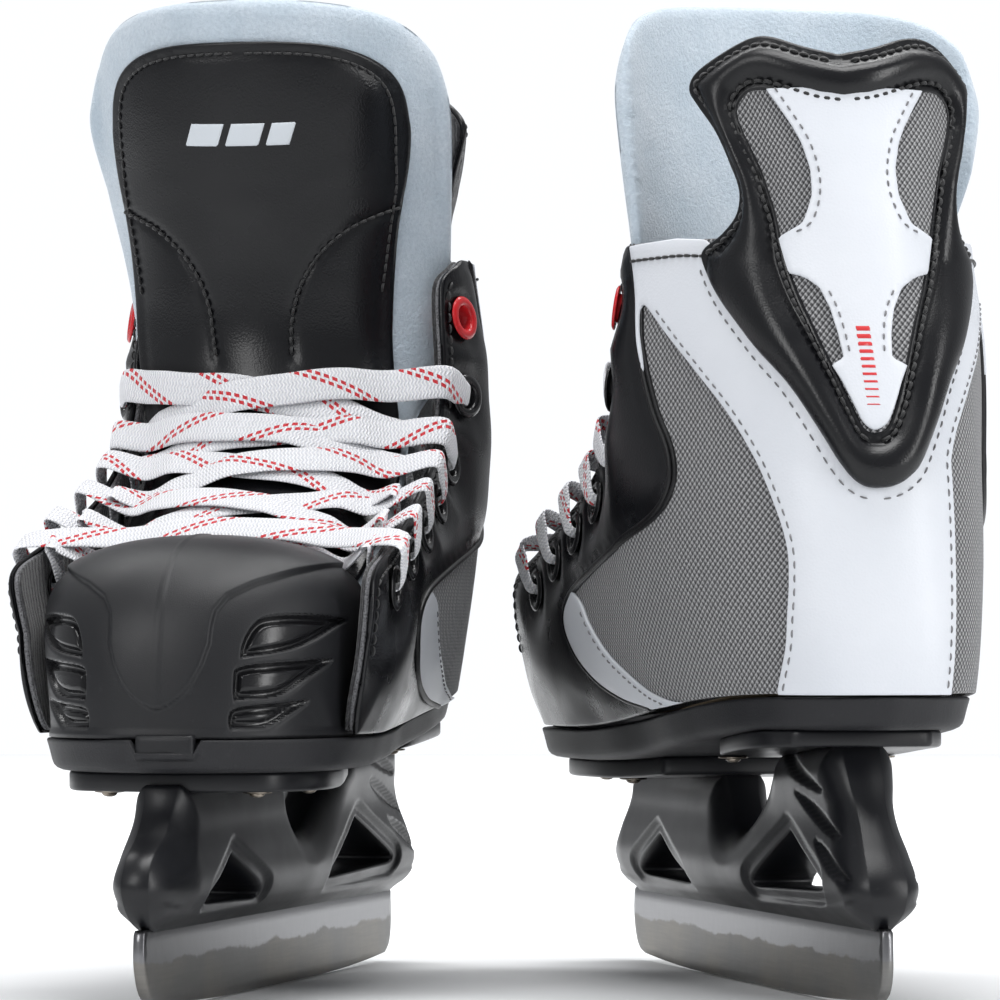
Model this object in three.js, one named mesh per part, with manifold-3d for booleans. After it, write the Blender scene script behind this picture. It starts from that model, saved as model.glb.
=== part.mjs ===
// A pair of ice hockey skates, laced, standing on their blades: the left skate points towards -Y and the
// right one towards +Y. Millimetres, +Z up, ice at z = 0. Each skate is designed in its own frame:
// x towards the toe, y towards the wearer's left, and the origin on the ice under the middle of the blade.
import * as THREE from 'three';
import { mergeVertices } from 'three/addons/utils/BufferGeometryUtils.js';
import Module from 'manifold-3d';

const wasm = await Module();
wasm.setup();

// Driving dimensions
const GAP = 0.3;                    // clearance between flat pieces that touch
const LAYER_GAP = 1;                // clearance between curved layers, whose facets differ
const BLADE_LENGTH = 270;
const STEEL_THICKNESS = 3.5;
const STEEL_TOP = 26;               // top of the steel inside the holder
const HOLDER_BOTTOM = 22;
const FLAT_HALF_LENGTH = 40;        // middle of the blade that touches the ice
const ROCKER_RADIUS = 1500;
const FOREFOOT_PLATE_Z = [61.7, 66.2];
const HEEL_PLATE_Z = [73.3, 77.0];
const SOLE_BOTTOM = 66.5;           // outsole underside at the forefoot
const SOLE_THICKNESS = 9.5;
const HEEL_LIFT = 12;               // how much higher the sole is at the heel
const COLLAR_Z = 222;               // top of the control net's boot part
const SHELL = 3;                    // thickness of quarters, facings and toe cap
const SKIN = 1.2;                   // thickness of an overlay
const LINING = 6;                   // thickness of the collar padding
const GUARD_THICKNESS = 5;
const GUARD_OFFSET = SKIN + 2 * LAYER_GAP;
const PIPING_GAP = 2.5;             // along x, which keeps the slanted stretches clear
const HINGE_Z = 213;                // height where the guard and the tongue bend
const FELT = 7;
const FACE = 1.5;                   // thickness of the tongue's leather face
const LACE_WIDTH = 8;
const LACE_THICKNESS = 1.1;
const HOLE_RADIUS = 3.75;           // hole of an eyelet
const BARREL_RADIUS = 4.5;
const FLANGE_RADIUS = 6.75;
const EYELET_SIDES = 6;
const FLANGE_LIFT = 1;              // underside of the flange above the leather's curved face
const BOOT_TWIST = THREE.MathUtils.degToRad(1.7);

// Where the two skates stand: middle of the blade, direction of the toe, sideways lean of the tongue's top
// and spread of the right flap
const PLACES = {
  left: { x: -71.75, y: -3.9, heading: -103.7, tongueShift: 0, splay: 4 },
  right: { x: 74.05, y: 3.8, heading: 103.6, tongueShift: -12, splay: 0 },
};

// Plan outlines of the boot's left half at rising heights: ten points from the middle of the heel
// round to the toe end of the lacing flap
const BOOT_LEVELS = [76, 100, 125, 155, 190, 222, 250, 280];
const BOOT_PLAN = [
  [[-126, 0], [-122, 17], [-108, 30], [-82, 37.5], [-48, 40.5], [-33, 40.5], [-18, 40.5], [15, 42], [50, 45], [85, 44]],
  [[-128, 0], [-124, 19], [-109, 32.5], [-80, 42], [-48, 47.5], [-33, 48.5], [-18, 49], [15, 49.5], [50, 51], [85, 50]],
  [[-127, 0], [-122, 20], [-106, 34], [-77, 45.5], [-48, 52.5], [-33, 53.5], [-18, 53.5], [15, 52.5], [50, 52], [85, 52]],
  [[-124, 0], [-118, 20], [-101, 35], [-75, 46], [-48, 55.5], [-33, 55.5], [-18, 51], [15, 49], [50, 49], [85, 49]],
  [[-117.5, 0], [-111, 19], [-95, 34], [-73, 45.5], [-48, 55], [-33, 54.5], [-18, 48], [15, 47], [50, 47], [85, 47]],
  [[-110, 0], [-104, 17], [-90, 30], [-70, 42.5], [-48, 50.5], [-33, 50.5], [-18, 46], [15, 45], [50, 45], [85, 45]],
  [[-102, 0], [-98, 18], [-87, 32], [-66, 47], [-48, 52], [-33, 52], [-18, 50], [15, 48], [50, 48], [85, 48]],
  [[-92.5, 0], [-89, 18], [-79, 32], [-60, 47], [-44, 52], [-30, 52], [-15, 50], [15, 48], [50, 48], [85, 48]],
];

// Outlines on the side of the boot, as (level, x): levels run from 76 at the sole to 222 at the collar
const PIPING = [[76, -54], [84, -54], [101, 7], [111, 29], [117, 22], [125, -38], [136, -67], [148, -71],
  [166, -63], [186, -56], [202, -52], [220, -43]];
const FLAP_EDGE = [[76, 76], [84, 81], [95, 84], [112, 86], [123, 84], [130, 62], [138, 39], [146, 19],
  [155, 0], [165, -13], [181, -20], [203, -22], [214, -25], [220, -36]];
// Edge of the heel counter, as (level, station of the plan outlines)
const COUNTER_EDGE = [[76, 2.1], [87, 1.8], [98, 1.5], [110, 1.25], [124, 1.2], [135, 1.4], [157, 1.95],
  [178, 2.55], [203, 3.35], [216, 3.5]];

// Half widths of the outsole along it, as (x, half width)
const OUTSOLE_HALF_WIDTH = [[-127, 7], [-124, 15], [-117, 24], [-106, 31], [-84, 36.5], [-48, 39.5], [-10, 39.5],
  [20, 42.5], [50, 46], [80, 46], [98, 41], [110, 32.5], [119, 20], [124, 8]];

// Toe cap: from its rear to its front, and up from the sole; power gives how square its plan is
const TOE = { rear: 60, front: 121, halfWidth: 40.5, base: 76 + GAP, shoulder: 112, crest: 133, power: 3 };

// Half widths of the tendon guard above its hinge, as (share of its height, half width)
const GUARD_HALF_WIDTH = [[0, 31], [0.12, 30], [0.5, 34], [0.72, 40], [0.85, 41], [1, 37]];

// Rivets of the two plates, as (x, y, whether it is in the heel plate)
const RIVETS = [[92, 22, 0], [92, -22, 0], [48, 25, 0], [48, -25, 0], [-56, 22.5, 1], [-56, -22.5, 1]];

// Levels where the side panels have their rows of points
const SIDE_LEVELS = [76, 84, 93, 101, 111, 117, 125, 130, 138, 147, 156, 166, 184, 202, 214, 220];

// Eyelets on the left flap, from the top (unlaced) one down to the toe, as (x, z)
const EYELETS = [[-31.5, 202], [-29.5, 178], [-19.5, 157], [-3.5, 145], [17.5, 136], [38.5, 128], [58.5, 119]];

// Middle line of the tongue's front face, from the toe up
const TONGUE_LINE = [[57, 128], [38, 138.5], [18, 151.5], [3, 168], [-4, 190], [-3, 213], [2, 237],
  [8, 262], [14, 290]];
const TONGUE_STEPS = TONGUE_LINE.length - 1;
const HINGE_STEP = 5;               // index in TONGUE_LINE of the point at the hinge

const COLOURS = {
  steel: [0xb9b9b6, 0.3, 1],
  holder: [0x141517, 0.35, 0],
  rubber: [0x1c1d20, 0.7, 0],
  toe: [0x202124, 0.45, 0],
  leather: [0x131417, 0.35, 0],
  mesh: [0x77777a, 0.9, 0],
  white: [0xf0f1f4, 0.45, 0],
  felt: [0xc3d0dc, 1, 0],
  lining: [0x1a1b1e, 0.95, 0],
  board: [0x8c7a62, 0.9, 0],
  lace: [0xf2f0f3, 0.9, 0],
  red: [0xc81e24, 0.3, 0],
  eyelet: [0x17181a, 0.3, 0.2],
};

// ---------------------------------------------------------------------------------------------- curves

const lerp = THREE.MathUtils.lerp;
const clamp = THREE.MathUtils.clamp;
const smoothstep = THREE.MathUtils.smoothstep;

// Catmull-Rom weights for a position t between the second and third of four values
function spline(p0, p1, p2, p3, t) {
  return 0.5 * (2 * p1 + (p2 - p0) * t + (2 * p0 - 5 * p1 + 4 * p2 - p3) * t * t
    + (3 * p1 - p0 - 3 * p2 + p3) * t * t * t);
}

// Smooth value of a list at a fractional index; the ends are extended in a straight line
function along(values, index) {
  const last = values.length - 1;
  const i = clamp(Math.floor(index), 0, last - 1);
  const before = i > 0 ? values[i - 1] : 2 * values[0] - values[1];
  const after = i < last - 1 ? values[i + 2] : 2 * values[last] - values[last - 1];
  return spline(before, values[i], values[i + 1], after, index - i);
}

// Fractional index of a value in a rising list
function indexIn(list, value) {
  let i = 0;
  while (i < list.length - 2 && list[i + 1] < value) i += 1;
  return i + (value - list[i]) / (list[i + 1] - list[i]);
}

// Value of a (key, value) table between its rows, in straight stretches
function lookUp(table, key) {
  const index = clamp(indexIn(table.map((row) => row[0]), key), 0, table.length - 1);
  const i = Math.min(Math.floor(index), table.length - 2);
  return lerp(table[i][1], table[i + 1][1], index - i);
}

// ------------------------------------------------------------------------------------- the boot's form

const soleTop = (x) => SOLE_BOTTOM + SOLE_THICKNESS + HEEL_LIFT * smoothstep(20 - x, 0, 80);
const soleUnder = (x) => soleTop(x) - SOLE_THICKNESS - 0.5 * smoothstep(20 - x, 0, 80);

// Height of a level at x: level 76 follows the top of the sole, level 222 is the collar
function levelHeight(level, x) {
  const bottom = soleTop(x) + 2 * GAP;
  return bottom + (level - BOOT_LEVELS[0]) * (COLLAR_Z - bottom) / (COLLAR_Z - BOOT_LEVELS[0]);
}

// Point of the boot's outside at station a (0 at the heel, 9 at the flap's toe end, minus on the right)
function bootPlan(a, z) {
  const row = indexIn(BOOT_LEVELS, z);
  const side = Math.abs(a);
  const column = (i, k) => {
    const mirrored = i < 0;
    const values = BOOT_PLAN.map((points) => points[Math.min(Math.abs(i), 9)][k]);
    const value = along(values, row);
    return mirrored && k === 1 ? -value : value;
  };
  const i = Math.min(Math.floor(side), 8);
  const at = (k) => {
    const last = i === 8 ? 2 * column(9, k) - column(8, k) : column(i + 2, k);
    return spline(column(i - 1, k), column(i, k), column(i + 1, k), last, side - i);
  };
  return [at(0), at(1) * Math.sign(a || 1)];
}

// Station where the outline at height z reaches x
function stationAt(x, z) {
  let low = 1;
  let high = 9.3;
  for (let step = 0; step < 30; step += 1) {
    const middle = (low + high) / 2;
    if (bootPlan(middle, z)[0] < x) low = middle;
    else high = middle;
  }
  return low;
}

function makeBoot(splay) {
  const raw = (a, z) => {
    const [x, y] = bootPlan(a, z);
    const spread = a < 0 ? splay * smoothstep(x, 30, 85) * smoothstep(z, 80, 105) : 0;
    return new THREE.Vector3(x, y - spread, z);
  };
  const normal = (a, z) => {
    const da = raw(a + 0.02, z).sub(raw(a - 0.02, z));
    const dz = raw(a, z + 0.5).sub(raw(a, z - 0.5));
    return dz.cross(da).normalize();
  };
  const point = (a, z, offset = 0) => raw(a, z).addScaledVector(normal(a, z), offset);
  return { point, normal };
}

// ---------------------------------------------------------------------------------------- mesh helpers

function geometryOf(points, triangles) {
  const geometry = new THREE.BufferGeometry();
  geometry.setAttribute('position', new THREE.Float32BufferAttribute(points.flatMap((p) => [p.x, p.y, p.z]), 3));
  geometry.setIndex(triangles);
  return geometry;
}

// Turns a closed mesh's faces outwards if its volume comes out negative
function outwards(geometry) {
  const p = geometry.attributes.position;
  const index = geometry.index.array;
  const corner = (i) => new THREE.Vector3().fromBufferAttribute(p, index[i]);
  let volume = 0;
  for (let i = 0; i < index.length; i += 3) {
    volume += corner(i).dot(corner(i + 1).cross(corner(i + 2)));
  }
  if (volume < 0) {
    for (let i = 0; i < index.length; i += 3) {
      [index[i], index[i + 1]] = [index[i + 1], index[i]];
    }
  }
  return geometry;
}

// Closed body through rings with the same number of points
function loft(rings) {
  const points = rings.flat();
  const n = rings[0].length;
  const triangles = [];
  for (let r = 0; r < rings.length - 1; r += 1) {
    for (let k = 0; k < n; k += 1) {
      const a = r * n + k;
      const b = r * n + ((k + 1) % n);
      triangles.push(a, b, b + n, a, b + n, a + n);
    }
  }
  const cap = (start, flip) => {
    for (let k = 1; k < n - 1; k += 1) {
      const face = [start, start + k + 1, start + k];
      triangles.push(...(flip ? face.reverse() : face));
    }
  };
  cap(0, false);
  cap((rings.length - 1) * n, true);
  return outwards(geometryOf(points, triangles));
}

// Closed sheet between an outer face and an inner face, both given as (u, v) -> point, u and v from 0 to 1
function sheet(outer, inner, columns, rows) {
  const points = [];
  for (const face of [outer, inner]) {
    for (let j = 0; j <= rows; j += 1) {
      for (let i = 0; i <= columns; i += 1) points.push(face(i / columns, j / rows));
    }
  }
  const width = columns + 1;
  const half = width * (rows + 1);
  const triangles = [];
  const quad = (a, b, c, d) => triangles.push(a, b, c, a, c, d);
  for (let j = 0; j < rows; j += 1) {
    for (let i = 0; i < columns; i += 1) {
      const a = j * width + i;
      quad(a, a + 1, a + width + 1, a + width);
      quad(half + a, half + a + width, half + a + width + 1, half + a + 1);
    }
  }
  for (let i = 0; i < columns; i += 1) {
    const top = rows * width + i;
    quad(i + 1, i, half + i, half + i + 1);
    quad(top, top + 1, half + top + 1, half + top);
  }
  for (let j = 0; j < rows; j += 1) {
    const a = j * width;
    const b = a + columns;
    quad(a, a + width, half + a + width, half + a);
    quad(b + width, b, half + b, half + b + width);
  }
  return outwards(geometryOf(points, triangles));
}

function solid(geometry) {
  const bare = geometry.clone();
  bare.deleteAttribute('normal');
  bare.deleteAttribute('uv');
  const merged = mergeVertices(bare, 1e-4);
  return new wasm.Manifold(new wasm.Mesh({
    numProp: 3,
    vertProperties: new Float32Array(merged.attributes.position.array),
    triVerts: new Uint32Array(merged.index.array),
  }));
}

function geometryFrom(manifold) {
  const mesh = manifold.getMesh();
  const geometry = new THREE.BufferGeometry();
  geometry.setAttribute('position', new THREE.Float32BufferAttribute(mesh.vertProperties, 3));
  geometry.setIndex(Array.from(mesh.triVerts));
  return geometry;
}

function piece(name, geometry, colour) {
  const [hex, roughness, metalness] = COLOURS[colour];
  const mesh = new THREE.Mesh(geometry, new THREE.MeshStandardMaterial({ color: hex, roughness, metalness }));
  mesh.name = name;
  return mesh;
}

// Outline (x, z) extruded to both sides of y = 0
function sidePlate(outline, halfWidth, holes = []) {
  const shape = new THREE.Shape(outline.map(([x, z]) => new THREE.Vector2(x, z)));
  shape.holes = holes.map((hole) => new THREE.Path(hole.map(([x, z]) => new THREE.Vector2(x, z))));
  const geometry = new THREE.ExtrudeGeometry(shape, { depth: 2 * halfWidth, bevelEnabled: false });
  geometry.rotateX(Math.PI / 2);
  geometry.translate(0, halfWidth, 0);
  return geometry;
}

// Polygon with its corners rounded by a radius that fits
function rounded(corners, radius, steps = 3) {
  const out = [];
  corners.forEach((corner, i) => {
    const here = new THREE.Vector2(...corner);
    const before = new THREE.Vector2(...corners.at(i - 1)).sub(here);
    const after = new THREE.Vector2(...corners[(i + 1) % corners.length]).sub(here);
    const reach = Math.min(radius * 1.6, before.length() * 0.45, after.length() * 0.45);
    const start = here.clone().addScaledVector(before.normalize(), reach);
    const end = here.clone().addScaledVector(after.normalize(), reach);
    const arc = new THREE.QuadraticBezierCurve(start, here, end);
    out.push(...arc.getPoints(steps).map((p) => [p.x, p.y]));
  });
  return out;
}

// ------------------------------------------------------------------------------------ blade and holder

function runnerGeometry() {
  const end = BLADE_LENGTH / 2;
  const rocker = (x) => Math.max(0, Math.abs(x) - FLAT_HALF_LENGTH) ** 2 / (2 * ROCKER_RADIUS);
  const under = [-131, -100, -70, -FLAT_HALF_LENGTH, FLAT_HALF_LENGTH, 70, 100, 124];
  const outline = [
    ...under.map((x) => [x, rocker(x)]),
    [131, 5], [134, 10], [end, 16], [133.5, HOLDER_BOTTOM - GAP],
    [127, HOLDER_BOTTOM - GAP], [127, STEEL_TOP], [-127, STEEL_TOP], [-127, HOLDER_BOTTOM - GAP],
    [-134, HOLDER_BOTTOM - GAP], [-end, 14], [-134.5, 6],
  ];
  return sidePlate(outline, STEEL_THICKNESS / 2);
}

function holderGeometry() {
  const side = [[-131, 22], [131, 22], [138, 30], [139, 36], [134, 43], [123.5, 49], [117, 55], [112, 62],
    [12, 62], [5, 59], [-1, 53], [-9, 47], [-18, 45], [-29, 46], [-39, 51], [-47, 60], [-52, 68], [-54, 74],
    [-109, 74], [-113, 67], [-118, 59], [-128, 46], [-136, 35], [-136, 28]];
  const windows = [
    rounded([[101, 31], [73, 41], [36, 28.5]], 5),
    rounded([[-23, 31.5], [-75, 48], [-97, 34]], 5),
  ];
  const body = solid(sidePlate(side, 30, windows));
  const across = [[5, 22], [9.5, 28], [12, 35], [11, 43], [9, 51], [11, 57], [14, 62], [15, 67], [17, 75]];
  const section = new THREE.Shape([...across, ...across.map(([y, z]) => [-y, z]).reverse()]
    .map(([y, z]) => new THREE.Vector2(y, z)));
  const bar = new THREE.ExtrudeGeometry(section, { depth: 300, bevelEnabled: false });
  bar.rotateX(Math.PI / 2);
  bar.rotateZ(Math.PI / 2);
  bar.translate(-150, 0, 0);
  const plate = (outline, [low, high]) => {
    const mirrored = [...outline, ...outline.map(([x, y]) => [x, -y]).reverse()];
    const shape = new THREE.Shape(rounded(mirrored, 6).map(([x, y]) => new THREE.Vector2(x, y)));
    const slab = new THREE.ExtrudeGeometry(shape, { depth: high - low, bevelEnabled: false });
    slab.translate(0, 0, low);
    return solid(slab);
  };
  const forefoot = plate([[8, 26], [55, 36], [80, 37], [100, 30], [107, 18]], FOREFOOT_PLATE_Z);
  const heel = plate([[-112, 22], [-96, 28], [-62, 28], [-48, 24]], HEEL_PLATE_Z);
  const slot = new THREE.BoxGeometry(2 * (127 + GAP), STEEL_THICKNESS + 2 * GAP, 20);
  slot.translate(0, 0, STEEL_TOP + GAP - 10);
  return geometryFrom(body.intersect(solid(bar)).add(forefoot).add(heel).subtract(solid(slot)));
}

// Head of a sole rivet with its washer, flat against the underside of a plate
function rivetGeometry() {
  const profile = [[0, -1.7], [2.2, -1.1], [4.2, -0.5], [4.2, 0], [0, 0]];
  const geometry = new THREE.LatheGeometry(profile.map(([r, z]) => new THREE.Vector2(r, z)), 8);
  geometry.rotateX(Math.PI / 2);
  return geometry;
}

// ---------------------------------------------------------------------------------------- sole and toe

function slab(stations, halfWidth, low, high) {
  return loft(stations.map((x) => {
    const w = halfWidth(x);
    return [
      new THREE.Vector3(x, -w, low(x)), new THREE.Vector3(x, w, low(x)),
      new THREE.Vector3(x, w, high(x)), new THREE.Vector3(x, -w, high(x)),
    ];
  }));
}

function outsoleGeometry() {
  const stations = OUTSOLE_HALF_WIDTH.map(([x]) => x).concat([-66, -30, 5]).sort((a, b) => a - b);
  return slab(stations, (x) => lookUp(OUTSOLE_HALF_WIDTH, x), (x) => soleUnder(x) + GAP, soleTop);
}

// A board or footbed inside the upper: inset from the outsole's edge, lying above it
function innerSole(inset, lift, thickness) {
  const stations = [-114, -106, -90, -66, -48, -30, -10, 5, 20, 50, 80, 96, 106, 111];
  const width = (x) => Math.max(
    lookUp(OUTSOLE_HALF_WIDTH, x) - inset - 4 * smoothstep(x, 20, 60) - 8 * smoothstep(x, 86, 108), 5);
  return slab(stations, width, (x) => soleTop(x) + lift, (x) => soleTop(x) + lift + thickness);
}

// Outside of the toe cap: u goes round from the left side to the right, v from the sole up and back
function toePoint(u, v) {
  const turn = Math.PI * u;
  const round = (value, power) => Math.sign(value) * Math.abs(value) ** (2 / power);
  const base = new THREE.Vector3(
    TOE.rear + (TOE.front - TOE.rear) * round(Math.sin(turn), 2.5),
    TOE.halfWidth * round(Math.cos(turn), 2.5),
    TOE.base,
  );
  const top = new THREE.Vector3(
    TOE.rear + 3 * Math.sin(turn),
    44 * Math.cos(turn),
    TOE.shoulder + (TOE.crest - TOE.shoulder) * Math.sin(turn) ** 0.8,
  );
  const climb = v * Math.PI / 2;
  const inward = 1 - Math.cos(climb) ** (2 / TOE.power);
  const upward = Math.sin(climb) ** (2 / TOE.power);
  return new THREE.Vector3(
    lerp(base.x, top.x, inward),
    lerp(base.y, top.y, inward) + 3.5 * Math.sin(Math.PI * v) * Math.cos(turn),
    lerp(base.z, top.z, upward),
  );
}

// Unit normal of a surface given as (u, v) -> point, on the side given by sign
function surfaceNormal(surface, u, v, sign) {
  const step = 0.004;
  const du = surface(Math.min(u + step, 1), v).sub(surface(Math.max(u - step, 0), v));
  const dv = surface(u, Math.min(v + step, 1)).sub(surface(u, Math.max(v - step, 0)));
  return du.cross(dv).normalize().multiplyScalar(sign);
}

function toeCapGeometry() {
  const inner = (u, v) => {
    const p = toePoint(u, v).addScaledVector(surfaceNormal(toePoint, u, clamp(v, 0.02, 0.98), 1), SHELL);
    p.z = Math.max(p.z, TOE.base);
    return p;
  };
  return sheet(toePoint, inner, 12, 6);
}

// --------------------------------------------------------------------------------------- upper's panels

// Panel of the boot between two (level, x) edges on one side; hand is 1 on the left and -1 on the right
function sidePanel(boot, hand, levels, back, front, thickness, columns) {
  const face = (offset) => (u, v) => {
    const row = v * (levels.length - 1);
    const i = Math.min(Math.floor(row), levels.length - 2);
    const level = lerp(levels[i], levels[i + 1], row - i);
    const x = lerp(back(level), front(level), u);
    const z = levelHeight(level, x);
    return boot.point(hand * stationAt(x, z), z, offset);
  };
  return sheet(face(0), face(-thickness), columns, levels.length - 1);
}

// Quarter: from the middle of the heel forward to the piping
function quarterGeometry(boot, hand) {
  const rows = SIDE_LEVELS.length - 1;
  const seam = 0.012;
  const face = (offset) => (u, v) => {
    const level = SIDE_LEVELS[Math.round(v * rows)];
    const frontX = lookUp(PIPING, level);
    const reach = u ** 1.6;
    const z = levelHeight(level, lerp(-110, frontX, reach));
    const a = lerp(seam, stationAt(frontX, z), reach);
    return boot.point(hand * a, z, offset);
  };
  return sheet(face(0), face(-SHELL), 9, rows);
}

function eyeletFrame(boot, hand, index) {
  const at = (i) => {
    const [x, z] = EYELETS[clamp(i, 0, EYELETS.length - 1)];
    return boot.point(hand * stationAt(x, z), z, 0);
  };
  const [x, z] = EYELETS[index];
  const centre = at(index);
  const out = boot.normal(hand * stationAt(x, z), z);
  const up = at(index - 1).sub(at(index + 1));
  up.addScaledVector(out, -up.dot(out)).normalize();
  const edge = new THREE.Vector3().crossVectors(out, up).multiplyScalar(-hand);
  return { centre, out, up, edge: edge.x + edge.z > 0 ? edge : edge.negate() };
}

// Geometry with its own Z turned to point along an eyelet's axis
function onEyelet(geometry, frame) {
  const turn = new THREE.Quaternion().setFromUnitVectors(new THREE.Vector3(0, 0, 1), frame.out);
  return geometry.applyQuaternion(turn).translate(frame.centre.x, frame.centre.y, frame.centre.z);
}

function cylinder(radius, low, high, sides = EYELET_SIDES) {
  const geometry = new THREE.CylinderGeometry(radius, radius, high - low, sides);
  geometry.rotateX(Math.PI / 2);
  geometry.translate(0, 0, (low + high) / 2);
  return geometry;
}

// Facing: the leather from the piping to the flap's free edge, with its eyelet holes
function facingGeometry(boot, hand) {
  const back = (level) => lookUp(PIPING, level) + PIPING_GAP;
  const front = (level) => lookUp(FLAP_EDGE, level);
  let panel = solid(sidePanel(boot, hand, SIDE_LEVELS, back, front, SHELL, 5));
  EYELETS.forEach((_, i) => {
    panel = panel.subtract(solid(onEyelet(cylinder(BARREL_RADIUS + GAP, -8, 8), eyeletFrame(boot, hand, i))));
  });
  return geometryFrom(panel);
}

// One eyelet: a flange outside the leather and a barrel through it, down to a depth
function eyeletGeometry(depth) {
  const profile = [[HOLE_RADIUS, -depth], [BARREL_RADIUS, -depth], [BARREL_RADIUS, FLANGE_LIFT],
    [FLANGE_RADIUS, FLANGE_LIFT], [HOLE_RADIUS + 0.6, FLANGE_LIFT + 1.1], [HOLE_RADIUS, -depth]];
  const geometry = new THREE.LatheGeometry(profile.map(([r, z]) => new THREE.Vector2(r, z)), EYELET_SIDES);
  geometry.rotateX(Math.PI / 2);
  return geometry;
}

// The six laced eyelets of a side, set in the stiffening strip behind the leather
function eyeletRowGeometry(boot, hand) {
  const frames = EYELETS.map((_, i) => eyeletFrame(boot, hand, i));
  const depth = SHELL + LAYER_GAP;
  const strip = (offset) => (u, v) => {
    const index = lerp(0.62, EYELETS.length - 0.68, v);
    const pick = (get) => along(frames.map(get), index);
    const x = pick((f) => f.centre.x + f.edge.x * lerp(-6.4, 6.4, u));
    const z = pick((f) => f.centre.z + f.edge.z * lerp(-6.4, 6.4, u));
    return boot.point(hand * stationAt(x, z), z, offset);
  };
  let row = solid(sheet(strip(-depth), strip(-depth - 1), 1, 10));
  frames.slice(1).forEach((frame) => {
    row = row.add(solid(onEyelet(cylinder(BARREL_RADIUS, -depth - 0.7, 1.5), frame)));
    row = row.add(solid(onEyelet(cylinder(FLANGE_RADIUS, FLANGE_LIFT, FLANGE_LIFT + 1), frame)));
  });
  frames.slice(1).forEach((frame) => {
    row = row.subtract(solid(onEyelet(cylinder(HOLE_RADIUS, -9, 6), frame)));
  });
  return geometryFrom(row);
}

// ------------------------------------------------------------------------------- heel counter and guard

// White counter over both quarters, round the heel
function heelCounterGeometry(boot) {
  const levels = COUNTER_EDGE.map(([level]) => level);
  const face = (offset) => (u, v) => {
    const level = levels[Math.round(v * (levels.length - 1))];
    const a = lerp(-1, 1, u) * lookUp(COUNTER_EDGE, level);
    return boot.point(a, levelHeight(level, -115), offset);
  };
  return sheet(face(LAYER_GAP + SKIN), face(LAYER_GAP), 12, levels.length - 1);
}

// Padding inside the collar, round the heel from one facing to the other
function collarLiningGeometry(boot) {
  const rows = [112, 140, 170, 195, 217];
  const face = (offset) => (u, v) => {
    const z = rows[Math.round(v * (rows.length - 1))];
    return boot.point(lerp(-4.1, 4.1, u), z, offset);
  };
  const outside = -SHELL - 1.5 * LAYER_GAP;
  return sheet(face(outside), face(outside - LINING), 14, rows.length - 1);
}

// Station on the boot's back where the outline at height z is y wide
function stationAcross(y, z) {
  let low = 0;
  let high = 4;
  for (let step = 0; step < 30; step += 1) {
    const middle = (low + high) / 2;
    if (bootPlan(middle, z)[1] < Math.abs(y)) low = middle;
    else high = middle;
  }
  return low * Math.sign(y || 1);
}

// Lower part of the tendon guard: a V on the counter, fixed to the boot
function guardRootGeometry(boot) {
  const edge = [[146, 5], [152, 11], [162, 19.5], [175, 27], [188, 32], [200, 36], [HINGE_Z - 1, 38.5]];
  const face = (offset) => (u, v) => {
    const [z, halfWidth] = edge[Math.round(v * (edge.length - 1))];
    return boot.point(stationAcross(lerp(-1, 1, u) * halfWidth, z), z, offset);
  };
  return sheet(face(GUARD_OFFSET + GUARD_THICKNESS), face(GUARD_OFFSET), 8, edge.length - 1);
}

// Outside of the upper guard: u from one edge to the other, v from the collar to the crown
function guardPoint(boot, u, v, offset, scale = 1, reach = [0, 1]) {
  const across = lerp(-1, 1, u) * scale;
  const crown = 271 + 6 * Math.sin(Math.PI * Math.min(Math.abs(across) / 1.24, 1)) ** 2
    - 9 * smoothstep(Math.abs(across), 0.75, 1);
  const height = lerp(reach[0], reach[1], v);
  const z = lerp(HINGE_Z + 1, crown, height);
  const y = across * lookUp(GUARD_HALF_WIDTH, height);
  return boot.point(stationAcross(y, z), z, offset);
}

function guardGeometry(boot) {
  const face = (offset) => (u, v) => guardPoint(boot, u, v, offset);
  return sheet(face(GUARD_OFFSET + GUARD_THICKNESS), face(GUARD_OFFSET), 10, 6);
}

// White inlay on the upper guard, inside its padded border
function guardInlayGeometry(boot) {
  const out = GUARD_OFFSET + GUARD_THICKNESS + 2 * GAP;
  const face = (offset) => (u, v) => guardPoint(boot, u, v, offset, 0.72, [0.02, 0.86]);
  return sheet(face(out + SKIN), face(out), 8, 5);
}

// --------------------------------------------------------------------------------------------- tongue

// Front face of the tongue at step s along its middle line and y across, moved out by offset
function makeTongue(shift) {
  const middle = (s) => new THREE.Vector3(
    along(TONGUE_LINE.map((p) => p[0]), s), 0, along(TONGUE_LINE.map((p) => p[1]), s));
  const forward = (s) => {
    const run = middle(s + 0.05).sub(middle(s - 0.05)).normalize();
    return new THREE.Vector3(run.z, 0, -run.x);
  };
  const curl = (s) => lerp(13, 21, smoothstep(s, 1.5, 4));
  return (s, y, offset = 0) => {
    const out = forward(s);
    const drop = curl(s) * Math.min(Math.abs(y) / 46, 1.15) ** 2.4;
    const point = middle(s).addScaledVector(out, offset - drop);
    point.y = y + shift * smoothstep(s, 4.6, 6.5);
    return point;
  };
}

function tonguePart(tongue, [start, end], halfWidth, out, thickness, rows) {
  const face = (offset) => (u, v) => {
    const s = lerp(start, end, v);
    return tongue(s, lerp(-1, 1, u) * halfWidth(s), offset);
  };
  return sheet(face(out), face(out - thickness), 8, rows);
}

const feltHalfWidth = (s) => lerp(40, 52, smoothstep(s, 4.6, 6.2)) - 9 * smoothstep(s, 7.2, 8);
const faceHalfWidth = (s) => lerp(39, 44, smoothstep(s, 4.6, 6.2)) - 8 * smoothstep(s, 6.8, 7.7);

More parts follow.
